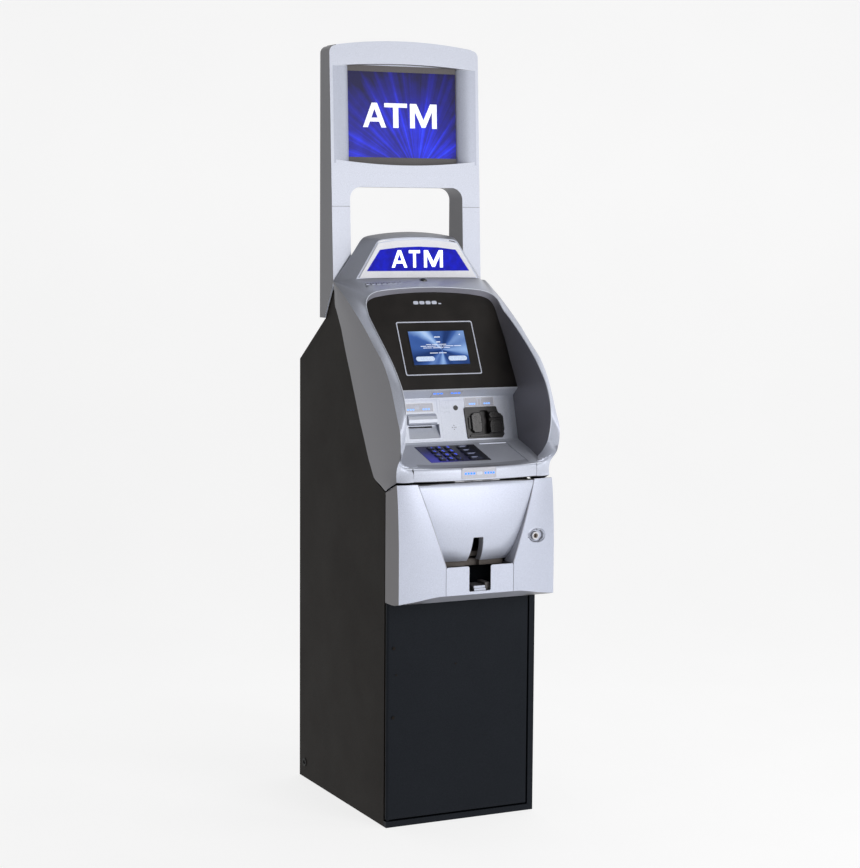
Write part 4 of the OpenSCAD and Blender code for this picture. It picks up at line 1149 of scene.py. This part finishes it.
# ------------------------------------------------------------------ lights on the panel
bars("ledge_leds", LED, [(-36, -29.5, 17.5, 21), (-26.5, -20, 17.5, 21), (-17, -10.5, 17.5, 21), (12, 18.5, 17.5, 21), (21.5, 28, 17.5, 21), (31, 37.5, 17.5, 21)], 1.0, 1.7, "led", "control_panel", 1.0)
bars("receipt_leds", PAN, [(-104 + i * 7.2, -99.5 + i * 7.2, 80.2, 84) for i in range(3)] + [(-62 + i * 7.2, -57.5 + i * 7.2, 80.2, 84) for i in range(3)], 1.0, 1.5, "led_pale", "control_panel", 1.2)
bars("card_leds", PAN, [(67 + i * 6.4, 71.4 + i * 6.4, 89.6, 93.4) for i in range(3)] + [(108 + i * 6.4, 112.4 + i * 6.4, 89.6, 93.4) for i in range(3)], 1.0, 1.5, "led_pale", "control_panel", 1.2)
bars("receipt_icon", PAN, [(-84, -71, 82, 90), (-81, -68, 90.5, 92)], 1.0, 1.35, "line", "control_panel", 1.0)
bars("card_icon", PAN, [(90, 92, 86.5, 104), (99, 101, 86.5, 104), (87, 104, 103.6, 105.2)], 1.0, 1.35, "line", "control_panel", 0.6)
LIPF = lambda x, z, n=0.0: (x, 905.0 - 84.0 - math.sqrt((905.0 + 1.25 + n) ** 2 - x * x), z)
bars("lip_leds", LIPF, [(-38 + i * 7.4, -33.6 + i * 7.4, 871, 875.6) for i in range(4)] + [(15 + i * 7.4, 19.4 + i * 7.4, 871, 875.6) for i in range(4)], 0.0, 0.6, "led", "control_panel", 1.4)
bars("lip_icon", LIPF, [(-8, 9, 869.5, 877.5)], 0.0, 0.4, "line", "control_panel", 3.5)
slab("lip_plate_rim", LIPF, rrect(-46, 47, 861, 887, 3.5), -1.2, 0.25, "frost", "control_panel", bev=0.3, holes=[rrect(-43.5, 44.5, 863.2, 884.8, 2.5)])
slab("receipt_label_rim", PAN, rrect(-108, -32, 75, 98, 2), 0.0, 1.25, "white", "control_panel", bev=0.25, holes=[rrect(-106.4, -33.6, 76.6, 96.4, 1.5)])
slab("card_label_rim", PAN, rrect(55, 137, 84, 108, 2), 0.0, 1.25, "white", "control_panel", bev=0.25, holes=[rrect(56.6, 135.4, 85.6, 106.4, 1.5)])
bars("shelf_light", SHE, [(76, 177, -12.5, -9.5)], 0.0, 0.9, "lamp_soft", "control_panel", 1.2)


def domes(name, fr, pts, r, mat, body, n=8):
    V, F = [], []
    for (x, y) in pts:
        b = len(V)
        for k, (q, h) in enumerate(((1.0, 0.0), (0.8, 0.45), (0.4, 0.75))):
            V += [fr(x + r * q * math.cos(2 * pi * i / n), y + r * q * math.sin(2 * pi * i / n), r * h) for i in range(n)]
        V.append(fr(x, y, r * 0.85))
        for k in range(2):
            F += [(b + k * n + i, b + k * n + (i + 1) % n, b + (k + 1) * n + (i + 1) % n, b + (k + 1) * n + i) for i in range(n)]
        F += [(b + 2 * n + i, b + 2 * n + (i + 1) % n, b + 3 * n) for i in range(n)]
    return make(name, V, F, mat, body, smooth=60)


def braille(x0, x1, y0, rows, cell=7.0, pitch=2.6, seed=7):
    pts = []
    k = seed
    x = x0
    while x < x1:
        for r in range(rows):
            for a in range(2):
                for b in range(3):
                    k = (k * 1103515245 + 12345) % (2 ** 31)
                    if (k >> 16) % 100 < 52:
                        pts.append((x + a * pitch, y0 - r * 13.0 - b * pitch))
        x += cell
    return pts


domes("panel_braille", PAN, braille(-10, 14, 101, 3, 6.6, 2.4), 0.75, "silver_flat", "control_panel")
RF = _frame((0, 226, 1319.6), 26)


def crown_surface(x, y):
    """height of the crown in front of the header"""
    ax = abs(x)
    yr = 196.6 - 0.0215 * ax
    zr = 1310.1 - 0.042 * ax
    t = (y - yr) / (263.2 - yr)
    return zr + (1332.0 - 0.003 * ax - zr) * t + 3.0 * math.sin(pi * t)


def crown(x, y, z=0.0):
    """x and y in plan, z out of the crown's surface"""
    yy = 227.5 - abs(x) * 0.03 + y * 0.93
    return (x, yy - z * 0.36, crown_surface(x, yy) + z * 0.93)


bars("crown_mark", crown, [(-164 + 15 * i, -153 + 15 * i, -5, 5) for i in range(7)], -0.6, 1.5, "silver", "control_panel", 2.6)
bars("crown_mark_hollows", crown, [(-161 + 15 * i, -156 + 15 * i, -2, 2) for i in range(7)], 1.3, 1.6, "seam", "control_panel", 1.2)
cz = crown_surface(2, 236.5) + 0.6
CAM = lambda x, y, z=0.0: (2 + x, 236.5 + y * 0.947 - z * 0.32, cz + y * 0.32 + z * 0.947)
dv, df = grid([[CAM(r * math.cos(2 * pi * i / 36), r * 0.86 * math.sin(2 * pi * i / 36), h) for i in range(36)] for r, h in ((10.2, -1.5), (10.2, 0.4), (9.6, 1.0), (8.6, 0.5), (8.2, 0.4), (7.6, 2.0), (6.4, 3.4), (4.6, 4.5), (2.4, 5.1), (0.2, 5.3))], closed=True)
dome = make("camera_dome", dv, df, "lens", "control_panel", merge=0.1, smooth=60)
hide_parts("security_camera")


bars("diamond_mark", PAN, [(17.6, 20.4, 38, 40), (17.6, 20.4, 28, 30), (13, 15, 32.6, 35.4), (23, 25, 32.6, 35.4), (18, 20, 33, 35)], 0.0, 0.5, "seam", "control_panel", 0.9)
slab("jack_hole", PAN, circ(29, 83, 3.9, 24), 0.6, 0.95, "black", "control_panel", bev=0.1)
slab("jack_ring", PAN, circ(29, 83, 6.2, 32), 0.0, 1.6, "dark", "control_panel", bev=0.5, holes=[circ(29, 83, 4.0, 32)])
# fine border line round the right edge of the panel
bars("panel_border", PAN, [(176, 177.2, 8, 102), (-4, 177.2, 102, 103.2)], 0.0, 0.35, "line", "control_panel", 0.4)

# ------------------------------------------------------------------ keypad
SEG = {"a": (0.1, 0.9, 0.92, 1.08), "b": (0.82, 1.0, 0.5, 1.0), "c": (0.82, 1.0, 0.0, 0.5), "d": (0.1, 0.9, -0.08, 0.08),
       "e": (0.0, 0.18, 0.0, 0.5), "f": (0.0, 0.18, 0.5, 1.0), "g": (0.1, 0.9, 0.42, 0.58), "p": (0.35, 0.65, -0.08, 0.16), "m": (0.2, 0.8, 0.4, 0.6)}
DIG = {"key_1": "bc", "key_2": "abged", "key_3": "abgcd", "key_4": "fgbc", "key_5": "afgcd", "key_6": "afgedc", "key_7": "abc", "key_8": "abcdefg", "key_9": "gfabcd",
       "key_clear_left": "m", "key_0": "abcdef", "key_dot": "p"}
cols = [-69.0, -45.5, -22.0]
order = ["key_1", "key_2", "key_3", "key_4", "key_5", "key_6", "key_7", "key_8", "key_9", "key_clear_left", "key_0", "key_dot"]
for i, k in enumerate(order):
    cx, cy = cols[i % 3], -32.0 - (i // 3) * 23.0
    w, h = 5.6, 8.4
    bars("glyph_" + k, SHE, [(cx - w / 2 + SEG[s][0] * w, cx - w / 2 + SEG[s][1] * w, cy - h / 2 + SEG[s][2] * h, cy - h / 2 + SEG[s][3] * h) for s in DIG[k]], 4.55, 4.8, "keyglyph", k, 0.3)
for i, k in enumerate(["key_cancel", "key_help", "key_correct", "key_enter"]):
    cx, cy = 21.5, -32.0 - i * 23.0
    bars("caption_" + k, SHE, [(cx - 11, cx + (8, 4, 10, 6)[i], cy + 0.6, cy + 2.8), (cx - 11, cx + (2, 0, 5, 1)[i], cy - 3.4, cy - 1.6)], 4.55, 4.8, "glyph_pale", k, 0.6)


def glowplate():
    m, nt, b = _new("keypad_plate_lit")
    v = _coord(nt)
    c = W(SHE(-95, -118, 0))
    d = nt.nodes.new("ShaderNodeVectorMath")
    d.operation = "DISTANCE"
    d.inputs[1].default_value = c
    nt.links.new(v, d.inputs[0])
    n = _noise(nt, v, 500.0, 2.0, 0.5)
    t = nt.nodes.new("ShaderNodeMapRange")
    t.inputs[1].default_value = 0.02
    t.inputs[2].default_value = 0.13
    t.inputs[3].default_value = 1.0
    t.inputs[4].default_value = 0.0
    nt.links.new(d.outputs["Value"], t.inputs[0])
    col = _ramp(nt, t.outputs[0], [(0.0, (0.006, 0.006, 0.009)), (0.5, (0.010, 0.010, 0.05)), (1.0, (0.022, 0.022, 0.26))])
    nt.links.new(col, b.inputs["Base Color"])
    nt.links.new(col, b.inputs["Emission Color"])
    b.inputs["Emission Strength"].default_value = 0.55
    nt.links.new(_math(nt, "ADD", _math(nt, "MULTIPLY", n, 0.12), 0.3), b.inputs["Roughness"])
    _bump(nt, b, n, 0.05, 0.0003)
    return m


MAT["keyplate"] = glowplate()
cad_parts["keypad_plate"].data.materials.clear()
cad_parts["keypad_plate"].data.materials.append(MAT["keyplate"])

# ------------------------------------------------------------------ card reader face
RO = [(53, 4), (150, 4), (156, 12), (154.5, 18), (157, 24), (157, 57), (151, 64), (146, 66), (143, 72), (141, 81), (138, 83), (54, 83), (51, 79)]
base = slab("reader_bezel", PAN, round_poly(RO, [5, 3, 2, 2, 2, 3, 3, 3, 3, 2, 3, 4, 4]), -2.8, 3.2, "black", "control_panel", bev=1.6, seg=3, holes=[rrect(91, 117, 13, 74, 7)])
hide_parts("card_reader_bezel")
slab("reader_left_block", PAN, round_poly([(64, 24), (70, 17), (90, 17), (93, 26), (93, 58), (89, 68), (72, 68), (64, 60)], 4), 3.0, 11.5, "gunmetal", "control_panel", bev=2.2, seg=3)
slab("reader_left_step", PAN, round_poly([(58, 28), (66, 26), (66, 60), (58, 57)], 2), 2.8, 6.2, "black", "control_panel", bev=1.0)
slab("reader_right_low", PAN, round_poly([(115, 16), (146, 16), (149, 24), (149, 47.6), (119, 47.6), (115, 38)], 3), 3.0, 10.5, "gunmetal", "control_panel", bev=1.8, seg=3)
slab("reader_right_top", PAN, round_poly([(115, 62), (119, 52.6), (147, 52.6), (147, 60), (139, 70), (119, 70)], 3), 3.0, 9.5, "gunmetal", "control_panel", bev=1.8, seg=3)
slab("reader_slot_lip", PAN, rrect(119, 149, 47.8, 52.4, 1.0), 2.8, 5.0, "black", "control_panel", bev=0.5)
slab("reader_throat", PAN, rrect(91, 117, 13, 74, 7), -14, -9, "black", "control_panel", bev=0.5)
slab("reader_throat_wall", PAN, rrect(90, 118, 12, 75, 7.5), -12, -2.5, "black", "control_panel", bev=0.3, holes=[rrect(91.5, 116.5, 13.5, 73.5, 6.5)])
slab("reader_ridge", PAN, round_poly([(58, 7), (151, 7), (153, 12), (149, 13.6), (60, 13.6)], 2), 2.8, 6.0, "black", "control_panel", bev=1.0)
bars("reader_studs", PAN, [(74, 77, 28, 31), (74, 77, 55, 58), (84, 87, 41, 44)], 11.4, 12.2, "black", "control_panel", 1.4)
MAT_DONE = True

# topper: flared side walls of the display recess, sill below it and the seam between housing and legs
for s in (-1, 1):
    rows = []
    for k in range(15):
        z = 108 + (350.5 - 108) * k / 14.0
        row = []
        for a in range(13):
            t = a * 7.5
            row.append(TOP(s * (200 - 0.3 - 47.6 * math.sin(math.radians(t))), z, -(20 - 20 * math.cos(math.radians(t))) + 0.25))
        rows.append(row)
    v, f = grid(rows)
    make("topper_cove_%s" % ("l" if s < 0 else "r"), v, f, "silver_cove", "cabinet", smooth=40)
sill = [(-199.5 + 399 * i / 28.0, 105 + 13 * ((-199.5 + 399 * i / 28.0) / 199.5) ** 2) for i in range(29)] + [(199.5, 85), (-199.5, 85)]
slab("topper_sill", TOP, sill, -19.4, 0.12, "silver_top", "cabinet", bev=0.5)
bars("topper_seams", TOP, [(-207.6, -158.4, -0.5, 0.5), (158.4, 207.6, -0.5, 0.5)], -0.2, 0.12, "seam", "cabinet", 0.2)


def tube(name, path, r, mat, body, n=8):
    """thin bead along a path"""
    rows = []
    for i, p in enumerate(path):
        a = Vector(path[max(i - 1, 0)])
        b = Vector(path[min(i + 1, len(path) - 1)])
        t = (b - a).normalized()
        u = t.cross(Vector((1, 0, 0)))
        if u.length < 0.2:
            u = t.cross(Vector((0, 1, 0)))
        u.normalize()
        w = t.cross(u)
        rows.append([tuple(Vector(p) + u * (r * math.cos(2 * pi * k / n)) + w * (r * math.sin(2 * pi * k / n))) for k in range(n)])
    v, f = grid(rows, closed=True)
    return make(name, v, f, mat, body, smooth=60)


# pale tube round the rim of the user recess: a painted highlight along the rim's edge
bead = [s[1] for s in ST if s[1][2] > 915] + RIM_UP
bead = smooth_path(bead, 4)
bead = bead + [(-x, y, z) for x, y, z in reversed(bead[:-1])]
tube("recess_rim_highlight", bead, 1.5, "silver_flat", "control_panel")

# black strip under the lip: painted shadow in the gap over the cover
def gap_strip():
    pts = []
    for k in range(-40, 41):
        x = 166.0 * k / 40.0
        pts.append((x, 905 - 84 - math.sqrt(905.0 ** 2 - x * x) + 3.0))
    pts = [(-206.4, -57.6), (-190, -61.6)] + pts + [(190, -61.6), (206.4, -57.6)]
    rows = [[(x, y, 857.4) for x, y in pts], [(x, y, 855.2) for x, y in pts], [(x, y + 9, 855.2) for x, y in pts], [(x, y + 9, 857.4) for x, y in pts]]
    v, f = grid(rows)
    return make("lip_gap_shadow", v, f, "black", "control_panel", smooth=20)


gap_strip()
# border of the receipt module
bars("receipt_border", PAN, [(-21.6, -20.4, 70, 104), (-108, -20.4, 103.4, 104.6)], 0.0, 0.35, "line", "control_panel", 0.4)


# ------------------------------------------------------------------ stage, lights, camera
def stage_plane():
    s = 9.0
    rows = []
    prof = [(-4.0, 0.0), (1.2, 0.0)] + [(1.2 + 1.6 * math.sin(a * pi / 24), 1.6 - 1.6 * math.cos(a * pi / 24)) for a in range(1, 13)] + [(2.8, 6.0)]
    verts, faces = [], []
    ca, sa = math.cos(math.radians(-25.87)), math.sin(math.radians(-25.87))
    for (u, z) in prof:
        for w in (-s, s):
            verts.append((w * ca - u * sa, w * sa + u * ca, z - 0.0005))
    for i in range(len(prof) - 1):
        faces.append((2 * i, 2 * i + 1, 2 * i + 3, 2 * i + 2))
    me = bpy.data.meshes.new("studio_floor")
    me.from_pydata(verts, [], faces)
    o = bpy.data.objects.new("studio_floor", me)
    bpy.context.collection.objects.link(o)
    for p in me.polygons:
        p.use_smooth = True
    m, nt, b = _new("studio_paper")
    v = _coord(nt)
    g = _noise(nt, v, 3.0, 2.0, 0.5)
    nt.links.new(_ramp(nt, g, [(0.2, (0.22, 0.22, 0.22)), (0.8, (0.24, 0.24, 0.24))]), b.inputs["Base Color"])
    b.inputs["Roughness"].default_value = 0.9
    b.inputs["Specular IOR Level"].default_value = 0.1
    b.inputs["Emission Color"].default_value = (1, 1, 1, 1)
    b.inputs["Emission Strength"].default_value = 0.80
    me.materials.append(m)
    return o


stage_plane()


def area(name, loc, target, size, power, color=(1, 1, 1), size_y=None):
    l = bpy.data.lights.new(name, "AREA")
    l.energy = power
    l.size = size
    if size_y:
        l.shape = "RECTANGLE"
        l.size_y = size_y
    l.color = color
    o = bpy.data.objects.new(name, l)
    bpy.context.collection.objects.link(o)
    o.location = loc
    d = Vector(target) - Vector(loc)
    o.rotation_euler = d.to_track_quat("-Z", "Y").to_euler()
    return o


area("key_front", (1.0, -3.0, 1.5), (0.0, 0.0, 1.0), 1.4, 39, (1.0, 0.99, 1.0), 2.0)
area("key_right", (2.6, -1.6, 2.2), (0.1, 0.0, 1.1), 1.2, 16, (1.0, 1.0, 1.0), 1.8)
area("fill_left", (-3.2, -0.6, 1.6), (-0.1, 0.2, 0.9), 2.0, 5, (1.0, 0.95, 0.90), 2.4)
area("top_soft", (-0.2, -0.4, 3.6), (0.0, 0.0, 1.0), 1.8, 8, (1, 1, 1))

w = bpy.data.worlds.new("studio")
bpy.context.scene.world = w
w.use_nodes = True
w.node_tree.nodes["Background"].inputs[0].default_value = (0.96, 0.965, 0.98, 1)
w.node_tree.nodes["Background"].inputs[1].default_value = 0.10

# camera solved from the photograph's perspective
C = (-2312.77, -4581.57, 1491.23)
yaw, pitch, roll = math.radians(25.8701), math.radians(5.9203), math.radians(0.3997)
fwd = Vector((math.sin(yaw) * math.cos(pitch), math.cos(yaw) * math.cos(pitch), -math.sin(pitch)))
rgt = Vector((math.cos(yaw), -math.sin(yaw), 0))
upv = rgt.cross(fwd)
r2 = math.cos(roll) * rgt + math.sin(roll) * upv
u2 = -math.sin(roll) * rgt + math.cos(roll) * upv
cam = bpy.data.cameras.new("camera")
cam.lens = 87.83
cam.sensor_width = 36.0
cam.sensor_fit = "AUTO"
cam.clip_end = 60.0
co = bpy.data.objects.new("camera", cam)
bpy.context.collection.objects.link(co)
rot = Matrix((r2, u2, -fwd)).transposed()
co.matrix_world = Matrix.Translation(Vector(W(C))) @ rot.to_4x4()
bpy.context.scene.camera = co
bpy.context.scene.view_settings.view_transform = "Standard"
